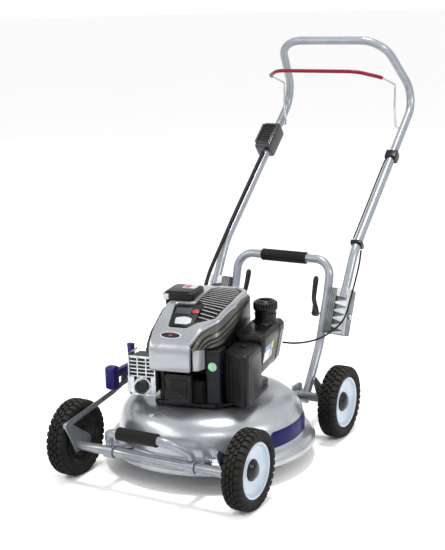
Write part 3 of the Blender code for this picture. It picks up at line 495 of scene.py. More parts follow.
def path_frames(path: Array) -> tuple[Array, Array]:
    """Two directions across each point of a path, carried along so that they turn as little as they can."""
    along = np.gradient(path, axis=0)
    along /= np.linalg.norm(along, axis=1, keepdims=True)
    side = np.array(Vector(along[0]).orthogonal().normalized())
    sides = []
    for step in along:
        side = side - step * side.dot(step)
        side = side / np.linalg.norm(side)
        sides.append(side)
    return np.array(sides), np.cross(along, np.array(sides))


def swept(path: Array, section: Array) -> Shell:
    """Carries a section along a path: each of its points (a, b) goes to path + a side + b up.

    Args:
        path: The path's points.
        section: The section's points, or one section for each point of the path.

    Returns:
        The closed bar.
    """
    side, up = path_frames(path)
    section = np.broadcast_to(section, (len(path), *section.shape[-2:]))
    grid = path[:, None] + section[..., :1] * side[:, None] + section[..., 1:] * up[:, None]
    return grid_shell(grid)


def circle(radius: float, sides: int = 24, squeeze: float = 1.0) -> Array:
    """A round section, squeezed across."""
    angle = np.linspace(0, TAU, sides, endpoint=False)
    return np.stack([radius * np.cos(angle), radius * squeeze * np.sin(angle)], axis=1)


def spline(points: list[tuple[float, float, float]], per_span: int = 6) -> Array:
    """A Catmull-Rom curve: between two points it is the cubic whose ends run parallel to their neighbours' chord."""
    p = np.array(points)
    p = np.concatenate([[2 * p[0] - p[1]], p, [2 * p[-1] - p[-2]]])
    t = np.linspace(0, 1, per_span, endpoint=False)[None, :, None]
    a, b, c, d = (p[k : len(p) - 3 + k][:, None] for k in range(4))
    spans = 0.5 * (2 * b + (c - a) * t + (2 * a - 5 * b + 4 * c - d) * t**2 + (3 * b - a - 3 * c + d) * t**3)
    return np.concatenate([spans.reshape(-1, 3), p[-2:-1]])


def taut(circles: list[tuple[float, float, float]], steps: int = 72) -> Array:
    """The taut outline round circles: in each direction, the furthest point of any of them."""
    angle = np.linspace(0, TAU, steps, endpoint=False)
    way = np.stack([np.cos(angle), np.sin(angle)], axis=1)
    c = np.array(circles)
    furthest = np.argmax(way @ c[:, :2].T + c[:, 2], axis=1)
    return c[furthest, :2] + way * c[furthest, 2:]


def framed(shell: Shell, origin: tuple[float, float, float], axes: tuple[Array, Array, Array]) -> Shell:
    """Takes a shell's three coordinates along three given directions from an origin."""
    return Shell(np.array(origin) + shell.points @ np.array(axes), shell.faces).outward()


def add_piece(
    name: str, shell: Shell, finish: Finish, body: str | None,
    stands_for: tuple[str, ...] = (), base: Base = Base.MACHINE, smooth: float = 38.0,
) -> bpy.types.Object:
    """Makes one piece of the machine: its mesh, its finish, and the body that it moves with.

    Args:
        name: The piece's name.
        shell: Its closed surface.
        finish: Its material.
        body: The body that it rides on, or None for a piece on no body.
        stands_for: The plain solids that it takes the place of.
        base: The frame that its points are in.
        smooth: Edges sharper than this many degrees stay crisp.

    Returns:
        The new object.
    """
    mesh = bpy.data.meshes.new(name)
    mesh.from_pydata(base.moved(shell.points), [], shell.faces)
    work = bmesh.new()
    work.from_mesh(mesh)
    bmesh.ops.remove_doubles(work, verts=work.verts[:], dist=WELD_DISTANCE)
    bmesh.ops.dissolve_degenerate(work, edges=work.edges[:], dist=SPECK_LENGTH)
    work.to_mesh(mesh)
    work.free()
    mesh.materials.append(finish.material())
    mesh.shade_smooth()
    mesh.set_sharp_from_angle(angle=math.radians(smooth))
    piece = bpy.data.objects.new(name, mesh)
    bpy.context.scene.collection.objects.link(piece)
    if body:
        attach(piece, body)
    if stands_for:
        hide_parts(*stands_for)
    LOG.info("%s: %d faces in %s", name, len(mesh.polygons), finish.name)
    return piece


def dress(node: str, finish: Finish, edge_mm: float = 0.8) -> None:
    """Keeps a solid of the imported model, with its finish and a small round on its edges.

    Args:
        node: The solid's name.
        finish: Its material.
        edge_mm: Width of the rounded edges.
    """
    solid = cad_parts[node]
    solid.data.materials.clear()
    solid.data.materials.append(finish.material())
    weld = solid.modifiers.new("Weld", "WELD")
    weld.merge_threshold = SOLID_WELD
    if edge_mm:
        flat = solid.modifiers.new("Flat faces", "DECIMATE")
        flat.decimate_type = "DISSOLVE"
        flat.angle_limit = FLAT_LIMIT
        rounded = solid.modifiers.new("Edges", "BEVEL")
        rounded.width = edge_mm / 1000
        rounded.segments = 2
        rounded.limit_method = "ANGLE"
        rounded.angle_limit = CORNER_LIMIT
        rounded.use_clamp_overlap = True
        rounded.harden_normals = False
    solid.data.shade_smooth()
    LOG.info("%s: kept, in %s", node, finish.name)


# ---- deck -------------------------------------------------------------------------------------
@dataclass
class Deck:
    """The round pressed deck with its rolled rim, its flat back and its plain side stripe."""

    radius: float = 0.2485
    top: float = 0.180
    shoulder: float = 0.100
    run: float = 0.090
    flat_back: float = 0.2125
    wall: float = 0.003
    shaft_hole: float = 0.0167

    def dome(self, share: Array) -> Array:
        """Radius and height up the dome: a superellipse of exponent 2.2, share 0 at its foot and 1 at the top."""
        angle = share * math.pi / 2
        power = 2 / 2.2
        run = self.run * np.cos(angle) ** power
        rise = (self.top - self.shoulder) * np.sin(angle) ** power
        return np.stack([self.radius - self.run + run, self.shoulder + rise], axis=1)

    def flattened(self, points: Array, inward: Array) -> Array:
        """Presses the back flat: where y passes the limit it is held there, fading in over the rim's step."""
        limit = self.flat_back - inward
        share = np.clip((points[..., 2] - 0.0755) / 0.006, 0, 1)
        share = share * share * (3 - 2 * share)
        held = np.minimum(points[..., 1], limit)
        points = points.copy()
        points[..., 1] += share * (held - points[..., 1])
        return points

    def shell(self) -> Shell:
        """The dome over its rolled rim, turned round the blade's axis, with the same line 3 mm inside it."""
        rim = [(0.2738, 0.0472), (0.2757, 0.0478), (0.2765, 0.0495), (0.2766, 0.0590), (0.2758, 0.0612), (0.2737,
            0.0628)]
        rim += [(0.2712, 0.0645), (0.2692, 0.0675), (0.2675, 0.0712), (0.2648, 0.0742), (0.2605, 0.0764), (0.2555,
            0.0778)]
        rim += [(0.2517, 0.0798), (0.2493, 0.0835), (0.2486, 0.0900)]
        dome = self.dome(np.linspace(0, 1, 26))
        outer = np.concatenate([rim, dome, [(0.120, self.top), (0.060, self.top), (self.shaft_hole, self.top)]])
        inner = outer - self.wall
        inner[:, 1] = np.maximum(inner[:, 1], 0.0474)
        inner[-1, 0] = self.shaft_hole
        profile = np.concatenate([outer, inner[::-1]])
        angle = np.linspace(0, TAU, 168, endpoint=False)
        grid = np.stack([profile[:, :1] * np.cos(angle), profile[:, :1] * np.sin(angle), np.repeat(profile[:, 1:],
            168, 1)], -1)
        inward = np.repeat([0.0, self.wall], len(outer))[:, None]
        return grid_shell(self.flattened(grid, inward), wrap_rows=True)

    def band(self, first: float, last: float, share: float, proud: float = 0.0010) -> Shell:
        """A thin film round the wall between two angles, from above the rim up to a share of the dome, round at its ends."""
        angle = np.radians(np.linspace(first, last, 90))
        line = np.concatenate([[(0.2489, 0.0860), (0.2486, 0.0900), (0.2485, 0.0950)], self.dome(np.linspace(0, share,
            9))])
        drop = np.gradient(line, axis=0)
        normal = np.stack([drop[:, 1], -drop[:, 0]], 1)
        normal /= np.linalg.norm(normal, axis=1, keepdims=True)
        ring = np.stack([line + normal * proud, line - normal * 0.0004])
        place = np.concatenate([np.linspace(0, 1, 14), np.linspace(1, 0, 14)])
        edge = np.minimum(angle - angle[0], angle[-1] - angle) * self.radius
        open_share = np.sqrt(np.clip(1 - (1 - np.clip(edge / 0.014, 0, 1)) ** 2, 0.04, 1))
        place = 0.5 + (place[None, :] - 0.5) * open_share[:, None]
        known = np.linspace(0, 1, len(line))
        both = [np.stack([np.interp(place[:, part], known, ring[k, :, axis]) for axis in (0, 1)], -1) for k,
            part in enumerate((slice(0, 14), slice(14, 28)))]
        flat = np.concatenate(both, axis=1)
        grid = np.stack([flat[..., 0] * np.cos(angle)[:, None], flat[..., 0] * np.sin(angle)[:, None], flat[..., 1]],
            -1)
        return grid_shell(grid)

    def build(self) -> None:
        """Makes the deck and its stripe."""
        add_piece("deck", self.shell(), DECK_LACQUER, "chassis", ("deck_shell",), smooth=50)
        add_piece("deck_stripe", self.band(-24, 24, 0.20), VIOLET_FILM, "chassis")


# ---- running gear -----------------------------------------------------------------------------
@dataclass
class Wheel:
    """A tyre with blocks on its tread, a dished rim and a domed cap."""

    side_x: float = 0.2535
    height: float = 0.100
    pitches: int = 34
    per_pitch: int = 10
    groove: float = 0.0046

    def tyre(self, side: int, y: float) -> Shell:
        """The tyre: a ring section pushed in along its normal wherever the tread pattern has a groove.

        Along the tread a block fills 7 of 10 steps, and each row's blocks start half a pitch after
        its neighbour's. Across it the columns outside the rows lie in the circumferential grooves.
        """
        half = [(0.0006, 0.1, 9), (0.0016, 0.1, 1), (0.0050, 0.1, 1), (0.0084, 0.1, 1), (0.0094, 0.0999, 9), (0.0106,
            0.0998, 9)]
        half += [(0.0116, 0.0998, 0), (0.0155, 0.0996, 0), (0.0192, 0.0989, 0), (0.0222, 0.0974, 0), (0.0243, 0.0948,
            0), (0.0253, 0.0915, 0)]
        half += [(0.0257, 0.0880, 2), (0.0257, 0.0835, 3), (0.0254, 0.0790, 3), (0.0244, 0.0755, 3), (0.0228, 0.0725,
            3), (0.0205, 0.0703, 3)]
        x, r, row = (np.array(v) for v in zip(*half))
        cross = np.concatenate([-x[::-1], x])
        radius = np.concatenate([r[::-1], r])
        kind = np.concatenate([row[::-1], row])
        steps = np.arange(self.pitches * self.per_pitch)
        stagger = np.where(kind == 1, 5, 0) + np.where(cross < 0, 3, 0)
        step = (steps[:, None] + stagger[None, :]) % self.per_pitch
        open_here = (step >= 7) & (kind[None, :] <= 2)
        depth = np.where(open_here, self.groove, 0.0)
        depth = np.where(kind[None, :] == 9, self.groove, depth)
        depth = depth * np.where(kind == 2, 0.35, np.where(radius < 0.0955, 0.6, 1.0))[None, :]
        run, rise = np.gradient(cross), np.gradient(radius)
        size = np.hypot(run, rise)
        out = radius[None, :] - depth * (run / size)[None, :]
        across = cross[None, :] + depth * (rise / size)[None, :]
        angle = steps / len(steps) * TAU
        grid = np.stack([side * self.side_x + across, y + out * np.cos(angle)[:, None],
            self.height + out * np.sin(angle)[:, None]], -1)
        return grid_shell(grid, wrap_rows=True)

    def rim(self, side: int, y: float) -> Shell:
        """The dished rim, turned round its hub, its face to the outside."""
        face = [(0.0699, 0.0180), (0.0700, 0.0206), (0.0692, 0.0222), (0.0674, 0.0229), (0.0654, 0.0224), (0.0638,
            0.0208)]
        face += [(0.0627, 0.0182), (0.0612, 0.0157), (0.0588, 0.0137), (0.0550, 0.0123), (0.0490, 0.0110), (0.0420,
            0.0098)]
        face += [(0.0345, 0.0088), (0.0290, 0.0084), (0.0272, 0.0092), (0.0262, 0.0107), (0.0250, 0.0112), (0.0235,
            0.0108), (0.0215, 0.0096), (0.0090, 0.0090)]
        back = [(0.0090, -0.0240), (0.0180, -0.0240), (0.0184, -0.0100), (0.0192, 0.0015), (0.0400, 0.0042), (0.0570,
            0.0060)]
        back += [(0.0588, 0.0040), (0.0600, -0.0195), (0.0612, -0.0210), (0.0690, -0.0210), (0.0699, -0.0190)]
        return revolved(np.array(face + back), (side * self.side_x, y, self.height), (side, 0, 0), 84, closed=True)

    def cap(self, side: int, y: float) -> Shell:
        """The domed cap over the stub axle."""
        line = [(0, 0.0078), (0.0262, 0.0078), (0.0272, 0.0094), (0.0270, 0.0116), (0.0260, 0.0136), (0.0242, 0.0150),
            (0.0226, 0.0160)]
        line += [(0.0200, 0.0188), (0.0160, 0.0214), (0.0105, 0.0232), (0.0050, 0.0240), (0, 0.0242)]
        return revolved(np.array(line), (side * self.side_x, y, self.height), (side, 0, 0), 48)

    def backing(self, side: int, y: float) -> Shell:
        """The dark disc that closes the rim's inner side, with a raised ring halfway out."""
        line = [(0.0190, -0.0168), (0.0190, -0.0196), (0.0350, -0.0186), (0.0370, -0.0202), (0.0420, -0.0202),
            (0.0440, -0.0186)]
        line += [(0.0560, -0.0190), (0.0598, -0.0206), (0.0612, -0.0217), (0.0692, -0.0217), (0.0699, -0.0204),
            (0.0692, -0.0206), (0.0615, -0.0206), (0.0604, -0.0190), (0.0600, -0.0168)]
        return revolved(np.array(line), (side * self.side_x, y, self.height), (side, 0, 0), 60, closed=True)

    def build(self, axle: str, label: str, side: int, y: float) -> None:
        """Makes one wheel.

        Args:
            axle: Front or rear.
            label: Left or right.
            side: Minus one on the left.
            y: Where its axis is along the machine.
        """
        name = f"{axle}_{label}"
        body = f"wheel_{name}"
        add_piece(f"tyre_block_{name}", self.tyre(side, y), TYRE_RUBBER, body, (f"tyre_{name}",),
            smooth=32)
        add_piece(f"rim_dish_{name}", self.rim(side, y), RIM_PLASTIC, body, (f"rim_{name}",),
            smooth=60)
        add_piece(f"hub_cap_{name}", self.cap(side, y), CAP_PLASTIC, body)
        add_piece(f"rim_backing_{name}", self.backing(side, y), BLACK_NYLON, body)


@dataclass
class Axle:
    """A cross tube between two crank plates, with the stubs that carry the wheels."""

    name: str
    pivot: tuple[float, float]
    wheel_y: float
    plate_x: tuple[float, float] = (0.2152, 0.2192)
    pin: tuple[float, float] = (-0.042, 0.064)

    def build(self) -> None:
        """Makes the whole axle as one welded piece."""
        y, z = self.pivot
        inner, outer = self.plate_x
        pin = (y + self.pin[0], z + self.pin[1])
        profile = np.array([(0, 0), (0.0125, 0), (0.0125, 2 * inner + 0.004), (0, 2 * inner + 0.004)])
        shells = [revolved(profile, (-inner - 0.002, y, z), (1, 0, 0), 40)]
        for _, side in SIDES:
            low, high = sorted((side * inner, side * outer))
            shells.append(slab(taut([(*pin, 0.010), (self.wheel_y, 0.1, 0.014), (y, z, 0.017)]), low, high, "x",
                0.0009))
            stub = np.array([(0, 0), (0.008, 0), (0.008, 0.043), (0.0115, 0.043), (0.0120, 0.0445), (0.0115, 0.0456),
                (0, 0.0456)])
            shells.append(revolved(stub, (side * (inner + 0.001), self.wheel_y, 0.1), (side, 0, 0), 28))
            nut = np.array([(0, 0), (0.0115, 0), (0.0115, 0.0052), (0.0095, 0.0066), (0, 0.0066)])
            shells.append(revolved(nut, (side * (outer - 0.0005), y, z), (side, 0, 0), 6))
        shells.append(revolved(np.array([(0, 0), (0.004, 0), (0.004, 0.011), (0, 0.011)]), (-inner - 0.001, *pin),
            (-1, 0, 0), 20))
        add_piece(f"{self.name}_axle_welded", merged(shells), ZINC, f"{self.name}_axle_body",
            (f"{self.name}_axle",))


@dataclass
class RunningGear:
    """Both axles, their bearings, the four wheels and the height linkage."""

    axles: tuple[Axle, ...] = (Axle("front", (-0.313, 0.098), -0.272), Axle("rear", (0.231, 0.116), 0.272))
    wheel: Wheel = field(default_factory=Wheel)

    def clamps(self) -> None:
        """The front axle's clamps: a ring round the tube on a strap that runs back under the rim."""
        y, z = self.axles[0].pivot
        ring = np.array([(0.0136, -0.013), (0.0166, -0.013), (0.0171, -0.0124), (0.0171, 0.0124), (0.0166, 0.013),
            (0.0136, 0.013)])
        strap = np.array([(y + 0.0125, z + 0.0135), (y + 0.014, z + 0.006), (-0.252, 0.0880), (-0.236, 0.0797),
            (-0.228, 0.0797), (-0.228, 0.0840), (-0.250, 0.0945)])
        for label, side in SIDES:
            low, high = sorted((side * 0.107, side * 0.129))
            parts = [revolved(ring, (side * 0.118, y, z), (1, 0, 0), 40, closed=True), slab(strap, low, high, "x",
                0.0006, 2)]
            parts.append(revolved(np.array([(0, 0), (0.0065, 0), (0.0065, 0.004), (0.005, 0.005), (0, 0.005)]),
                (side * 0.118, -0.262, 0.0935), (0, -0.45, 0.893), 6))
            add_piece(f"front_clamp_{label}", merged(parts), TUBE_POWDER, "chassis",
                (f"front_bearing_{label}",))

    def height_control(self) -> None:
        """The rounded hand grip on the link, in the blue of its trigger."""
        paddle = slab(box_outline((-0.180, -0.150), (0.204, 0.268), 0.009, 5), -0.2199, -0.1905, "x", 0.006, 4)
        neck = slab(box_outline((-0.156, -0.0775), (0.228, 0.249), 0.004, 3), -0.2199, -0.2030, "x", 0.003, 3)
        ribs = [slab(box_outline((-0.1812, -0.176), (z, z + 0.004), 0.0012, 2), -0.2165, -0.1945, "x", 0.001,
            2) for z in np.arange(0.214, 0.258, 0.008)]
        add_piece("height_hand_grip", merged([paddle, neck, *ribs]), BLUE_PLASTIC, "link",
            ("height_grip",))
        dress("height_trigger", BLUE_PLASTIC, 1.6)
        dress("link_bar", ZINC, 0.8)
        dress("notch_plate", ZINC, 0.5)

    def build(self) -> None:
        """Makes the running gear."""
        for axle in self.axles:
            axle.build()
            for label, side in SIDES:
                self.wheel.build(axle.name, label, side, axle.wheel_y)
        self.clamps()
        for label, _ in SIDES:
            dress(f"rear_bearing_{label}", DECK_LACQUER, 0.8)
        self.height_control()


# ---- tubes and handles ------------------------------------------------------------------------
@dataclass
class Grip:
    """A moulded rubber grip with ridges along it, on a straight cross tube."""

    name: str
    node: str
    half: float
    centre: tuple[float, float]
    radius: float
    ridges: int = 18

    def build(self) -> None:
        """Makes the grip: a circle whose radius dips by a cosine's sixth power between its ridges."""
        angle = np.linspace(0, TAU, self.ridges * 8, endpoint=False)
        dip = np.abs(np.cos(angle * self.ridges / 2)) ** 6
        x = np.array([-1, -1, -0.985, -0.96, -0.94, -0.925, 0.925, 0.94, 0.96, 0.985, 1, 1]) * self.half
        size = np.array([0.78, 0.90, 0.98, 1.0, 1.0, 0.985, 0.985, 1.0, 1.0, 0.98, 0.90, 0.78])
        deep = np.array([0, 0, 0, 0, 0, 1, 1, 0, 0, 0, 0, 0]) * 0.055
        r = self.radius * (size[:, None] - deep[:, None] * dip[None, :])
        grid = np.stack([np.repeat(x[:, None], len(angle), 1), self.centre[0] + r * np.cos(angle),
            self.centre[1] + r * np.sin(angle)], -1)
        add_piece(self.name, grid_shell(grid), GRIP_RUBBER, "chassis", (self.node,), smooth=50)


@dataclass
class Tubes:
    """The carrying handle, the rear frame and the handlebar, each one bent tube."""

    frame_radius: float = 0.0125
    carry_radius: float = 0.011
    leg: tuple[tuple[float, float, float], ...] = (
        (0.2095, 0.4230, 0.3900), (0.2100, 0.4787, 0.4795), (0.2130, 0.9621, 0.8800), (0.1690, 0.7880, 1.0620),
    )

    def bent(self, half: list[tuple[float, float, float]], radii: list[float], bore: float) -> Shell:
        """A tube through both halves: the given one and its mirror image."""
        corners = [(-x, y, z) for x, y, z in half] + half[::-1]
        line = filleted(corners, radii + radii[::-1], 12, closed=False)
        return swept(line, circle(bore, 28))

    def build(self) -> None:
        """Makes the three tubes and their grips."""
        carry = [(0.118, -0.313, 0.1192), (0.116, -0.319, 0.134), (0.083, -0.364, 0.172)]
        add_piece("carry_tube", self.bent(carry, [0.02, 0.045], self.carry_radius), TUBE_POWDER, "chassis",
            ("carry_handle",))
        legs = [(0.150, 0.262, 0.085), (0.150, 0.318, 0.157), (0.150, 0.367, 0.224), (0.150, 0.424, 0.360), (0.150,
            0.452, 0.4545)]
        add_piece("rear_frame_tube", self.bent(legs, [0.20, 0.20, 0.15, 0.07], self.frame_radius), TUBE_POWDER,
            "chassis", ("rear_frame",))
        upper = self.bent([(0.2093, 0.4044, 0.3600), *self.leg[1:]], [0.16, 0.073, 0.085], self.frame_radius)
        add_piece("handlebar_tube", upper, TUBE_POWDER, "handle", ("handlebar",))
        Grip("carry_grip_ridged", "carry_grip", 0.0567, (-0.364, 0.172), 0.0168).build()
        Grip("rear_grip_ridged", "rear_grip", 0.0715, (0.452, 0.4545), 0.0178, 20).build()


@dataclass
class FoldJoint:
    """One fold joint: a ribbed fixed half, a notched moving half, its bolt and its cam lever."""

    label: str
    side: int
    pivot: tuple[float, float] = (0.398, 0.308)
    lean: float = 66.0
    half_length: float = 0.066
    half_width: float = 0.024

    def axes(self) -> tuple[Array, Array, Array]:
        """Outwards in x, up along the bracket, and across it towards the front."""
        c, s = math.cos(math.radians(self.lean)), math.sin(math.radians(self.lean))
        return np.array([1.0, 0, 0]), np.array([0, c, s]), np.array([0, -s, c])

    def build(self) -> None:
        """Makes the joint's pieces."""
        centre = (0.0, self.pivot[0] + 0.008, self.pivot[1] + 0.010)
        a, b, t = self.half_length, self.half_width, self.side
        plates = []
        for k in range(7):
            x0 = 0.1632 + k * 0.0033
            low, high = sorted((t * x0, t * (x0 + 0.0033)))
            shrink = 0.0 if k % 2 == 0 else 0.0022
            outline = box_outline((-a + shrink, a - shrink), (-b + shrink, b - shrink), 0.007, 4)
            plates.append(slab(outline, low, high, "x", 0.0004, 1))
        fixed = framed(merged(plates), centre, self.axes())
        # The fixed half wears the darker copy of the casting: painted shade.
        add_piece(f"bracket_fixed_{self.label}", fixed, CASTING_PAINTED_SHADE, "chassis",
            (f"frame_bracket_{self.label}",))
        inner, outer = 0.1866, 0.2272
        low, high = sorted((t * inner, t * outer))
        base = framed(slab(box_outline((low, high), (-a, a), 0.004, 3), -b, b - 0.0075, "z", 0.0014, 2), centre,
            self.axes())
        # The pockets behind the wedges wear the darker copy too: painted shade where the wedges' shadows fall.
        add_piece(f"bracket_pockets_{self.label}", base, CASTING_PAINTED_SHADE, "handle")
        wedge_end, pitch, half_mouth = outer - 0.0065, 0.0225, 0.0085
        face = [slab(box_outline(sorted((t * wedge_end, t * outer)), (-a, a), 0.0025, 3), b - 0.0120, b, "z", 0.0012,
            2)]
        for k in range(6):
            low_a = -a + 0.0005 if k == 0 else -a + 0.0098 + (k - 1) * pitch + half_mouth
            high_a = a - 0.0005 if k == 5 else -a + 0.0098 + k * pitch - half_mouth
            wide_low = -a + 0.0005 if k == 0 else -a + 0.0098 + (k - 1) * pitch
            wide_high = a - 0.0005 if k == 5 else -a + 0.0098 + k * pitch
            if high_a - low_a < 0.002:
                low_a, high_a = (low_a + high_a) / 2 - 0.001, (low_a + high_a) / 2 + 0.001
            band = [(t * (inner + 0.001), low_a), (t * (wedge_end + 0.002), wide_low + 0.0004),
                (t * (wedge_end + 0.002), wide_high - 0.0004), (t * (inner + 0.001), high_a)]
            face.append(slab(np.array(band if t > 0 else band[::-1]), b - 0.0120, b - 0.0004, "z", 0.0004, 1))
        moving = framed(merged(face), centre, self.axes())
        add_piece(f"bracket_moving_{self.label}", moving, CAST_ALUMINIUM, "handle",
            (f"handle_bracket_{self.label}",), smooth=25)
        dress(f"clamp_bolt_{self.label}", BRIGHT_STEEL, 0.6)
        self.lever()

    def lever(self) -> None:
        """The cam lever: a flat bar that widens to its rounded tip, and the cam that it turns on."""
        y, z = self.pivot
        line = spline([(0.1240, y, z), (0.1195, y + 0.007, z + 0.020), (0.1125, y + 0.015, z + 0.041), (0.1104,
            y + 0.027, z + 0.070), (0.1100, y + 0.0385, z + 0.100)], 8)
        line = line * np.array([self.side, 1.0, 1.0])
        share = np.linspace(0, 1, len(line))
        size = np.interp(share, [0, 0.12, 0.3, 0.6, 0.92, 0.98, 1.0], [1.5, 1.45, 1.0, 1.05, 1.2, 1.0, 0.5])
        section = circle(0.0068, 20)[None] * size[:, None, None]
        bar = swept(line, section)
        axis = (0.0, -0.932 * self.side, 0.364 * self.side)
        cam = np.array([(0, -0.009), (0.0088, -0.009), (0.0098, -0.008), (0.0098, 0.008), (0.0088, 0.009), (0,
            0.009)])
        shell = merged([bar, revolved(cam, (self.side * 0.124, y, z), axis, 28)])
        add_piece(f"cam_lever_{self.label}", shell, BLACK_NYLON, f"lever_{self.label}",
            (f"clamp_lever_{self.label}",))


@dataclass
class Controls:
    """What the handlebar carries: switch housing, stop bar, cable fittings, and the cables themselves."""

    leg_low: tuple[float, float, float] = (0.2100, 0.4787, 0.4795)
    leg_high: tuple[float, float, float] = (0.2130, 0.9621, 0.8800)

    def housing(self) -> None:
        """The switch housing, clamped round the left leg, with ribs across its front."""
        low, high = (np.array(p) * (-1, 1, 1) for p in (self.leg_low, self.leg_high))
        along = (high - low) / np.linalg.norm(high - low)
        middle = low + (high - low) * 0.665
        out = np.array([0, -along[2], along[1]]) / math.hypot(along[1], along[2])
        axes = (along, out, np.cross(along, out))
        origin = tuple(middle + out * 0.004)
        body = slab(box_outline((-0.0525, 0.0525), (-0.027, 0.027), 0.010, 5), -0.034, 0.020, "z", 0.006, 4)
        lid = slab(box_outline((-0.040, 0.040), (-0.0315, 0.0), 0.004, 3), -0.028, 0.008, "z", 0.003, 3)
        lid2 = slab(box_outline((-0.040, 0.040), (0.0, 0.0290), 0.004, 3), -0.028, 0.014, "z", 0.003, 3)
        ribs = [slab(box_outline((a, a + 0.0028), (-0.024, 0.0314), 0.001, 2), -0.0366, 0.012, "z", 0.0008,
            2) for a in np.arange(-0.036, 0.037, 0.0072)]
        key = slab(box_outline((-0.012, 0.014), (-0.012, 0.012), 0.005, 4), -0.039, -0.030, "z", 0.002, 3)
        shell = framed(merged([body, lid, lid2, *ribs, key]), origin, axes)
        add_piece("switch_box", shell, SWITCH_PLASTIC, "handle", ("switch_housing",))
        dress("cable_anchor", BLACK_NYLON, 1.5)
        dress("cable_clip", BLACK_NYLON, 1.0)

    def stop_bar(self) -> None:
        """The stop bar: one bent wire, and the red sleeve over its cross bar."""
        half = [(0.199, 0.8575, 0.7935), (0.188, 0.8575, 0.7935), (0.188, 0.846, 0.862), (0.188, 0.850, 0.926),
            (0.184, 0.739, 0.957), (0.130, 0.681, 0.977)]
        radii = [0.005, 0.04, 0.012, 0.05, 0.06]
        corners = [(-x, y, z) for x, y, z in half] + half[::-1]
        line = filleted(corners, radii + radii[::-1], 8, closed=False)
        add_piece("stop_bar_wire", swept(line, circle(0.0030, 14)), BRIGHT_STEEL, "bail",
            ("bail_wire",))
        covered = line[line[:, 2] > 0.9545]
        add_piece("stop_bar_sleeve", swept(covered, circle(0.0056, 18)), RED_VINYL, "bail",
            ("bail_sleeve",))

    def cables(self) -> None:
        """The brake cable and the switch wiring, each clipped to the handlebar and then, on no body, down to the
        engine.
        """
        brake_low = [(0.2250, 0.493, 0.482), (0.2330, 0.462, 0.452), (0.2370, 0.425, 0.412), (0.2360, 0.387, 0.360),
            (0.2350, 0.360, 0.325), (0.2300, 0.323, 0.303)]
        brake_low += [(0.2200, 0.249, 0.291), (0.2040, 0.190, 0.2895), (0.1880, 0.130, 0.2985), (0.1730, 0.085,
            0.3110)]
        wiring_low = [(-0.2100, 0.5060, 0.5247), (-0.2080, 0.4620, 0.4890), (-0.2000, 0.4000, 0.4500), (-0.1850,
            0.3300, 0.4160), (-0.1550, 0.2500, 0.3930), (-0.1300, 0.1900, 0.3820), (-0.1180, 0.1480, 0.3800)]
        brake_up = [(0.1970, 0.747, 0.708), (0.1965, 0.700, 0.670), (0.1955, 0.580, 0.570), (0.1950, 0.5085, 0.5122)]
        wiring_up = [(-0.2115, 0.7390, 0.7178), (-0.2110, 0.6290, 0.6266), (-0.2105, 0.5490, 0.5604), (-0.2100,
            0.5090, 0.5272)]
        for name, node, points, bore in (("brake_cable_on_leg", "brake_cable_upper", brake_up, 0.0022),
            ("wiring_on_leg", "wiring_upper", wiring_up, 0.0058)):
            add_piece(name, swept(spline(points, 6), circle(bore, 12)), CABLE_VINYL, "handle",
                (node,))
        for name, node, points, bore, stiffness in (("brake_cable_free", "brake_cable_lower", brake_low, 0.0027,
            "stiff"), ("wiring_free", "wiring_lower", wiring_low, 0.0058, "medium")):
            line = spline(points, 6)
            piece = add_piece(name, swept(line, circle(bore, 12)), CABLE_VINYL, None, (node,))
            world = Base.MACHINE.moved(line)
            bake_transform(piece)

    def build(self) -> None:
        """Makes the controls."""
        self.housing()
        self.stop_bar()
        self.cables()


# ---- engine -----------------------------------------------------------------------------------
@dataclass
class HoodSheet:
    """The silver sheet over the engine's front and top, measured along its own side profile.

    A point of the sheet is u across the engine, s along the profile from its front lower edge, and n
    above the sheet.
    """

    knots: tuple[tuple[float, float], ...] = (
        (-0.1920, 0.2825), (-0.1920, 0.3400), (-0.1900, 0.3510), (-0.1835, 0.3612), (-0.1730, 0.3715),
        (-0.1500, 0.3905), (-0.1080, 0.4092), (-0.0600, 0.4280), (-0.0200, 0.4342), (0.0200, 0.4382),
        (0.0900, 0.4412), (0.1300, 0.4350),
    )

    def line(self) -> tuple[Array, Array, Array]:
        """The profile as (s, points, normals): a curve through the knots, spaced by its own length."""
        curve = spline([(0.0, v, z) for v, z in self.knots], 12)[:, 1:]
        s = np.concatenate([[0], np.cumsum(np.linalg.norm(np.diff(curve, axis=0), axis=1))])
        way = np.gradient(curve, axis=0)
        way /= np.linalg.norm(way, axis=1, keepdims=True)
        return s, curve, np.stack([-way[:, 1], way[:, 0]], 1)

    def along(self, v: Array) -> Array:
        """Distance along the profile at which the sheet passes over v."""
        s, curve, _ = self.line()
        return np.interp(v, curve[:, 0] + np.linspace(0, 1e-7, len(curve)), s)

    def at(self, u: Array, s: Array, n: Array) -> Array:
        """Points of the sheet from u, s and n."""
        known, curve, normal = self.line()
        u, s, n = np.broadcast_arrays(u, s, n)
        v = np.interp(s, known, curve[:, 0]) + n * np.interp(s, known, normal[:, 0])
        z = np.interp(s, known, curve[:, 1]) + n * np.interp(s, known, normal[:, 1])
        return np.stack([u, v, z], -1)

    def plan(self, corners: list[tuple[float, float]], radii: list[float]) -> Array:
        """An outline given as (u, v), rounded, in (u, s)."""
        flat = [(u, float(self.along(np.array([v]))[0])) for u, v in corners]
        return filleted(flat, radii, 6)

    def film(self, outline: Array, low: float, high: float, edge: float = 0.0004) -> Shell:
        """A plate that lies on the sheet between two heights above it."""
        flat = slab(outline, low, high, "z", edge, 2)
        return Shell(self.at(flat.points[:, 0], flat.points[:, 1], flat.points[:, 2]), flat.faces).outward()


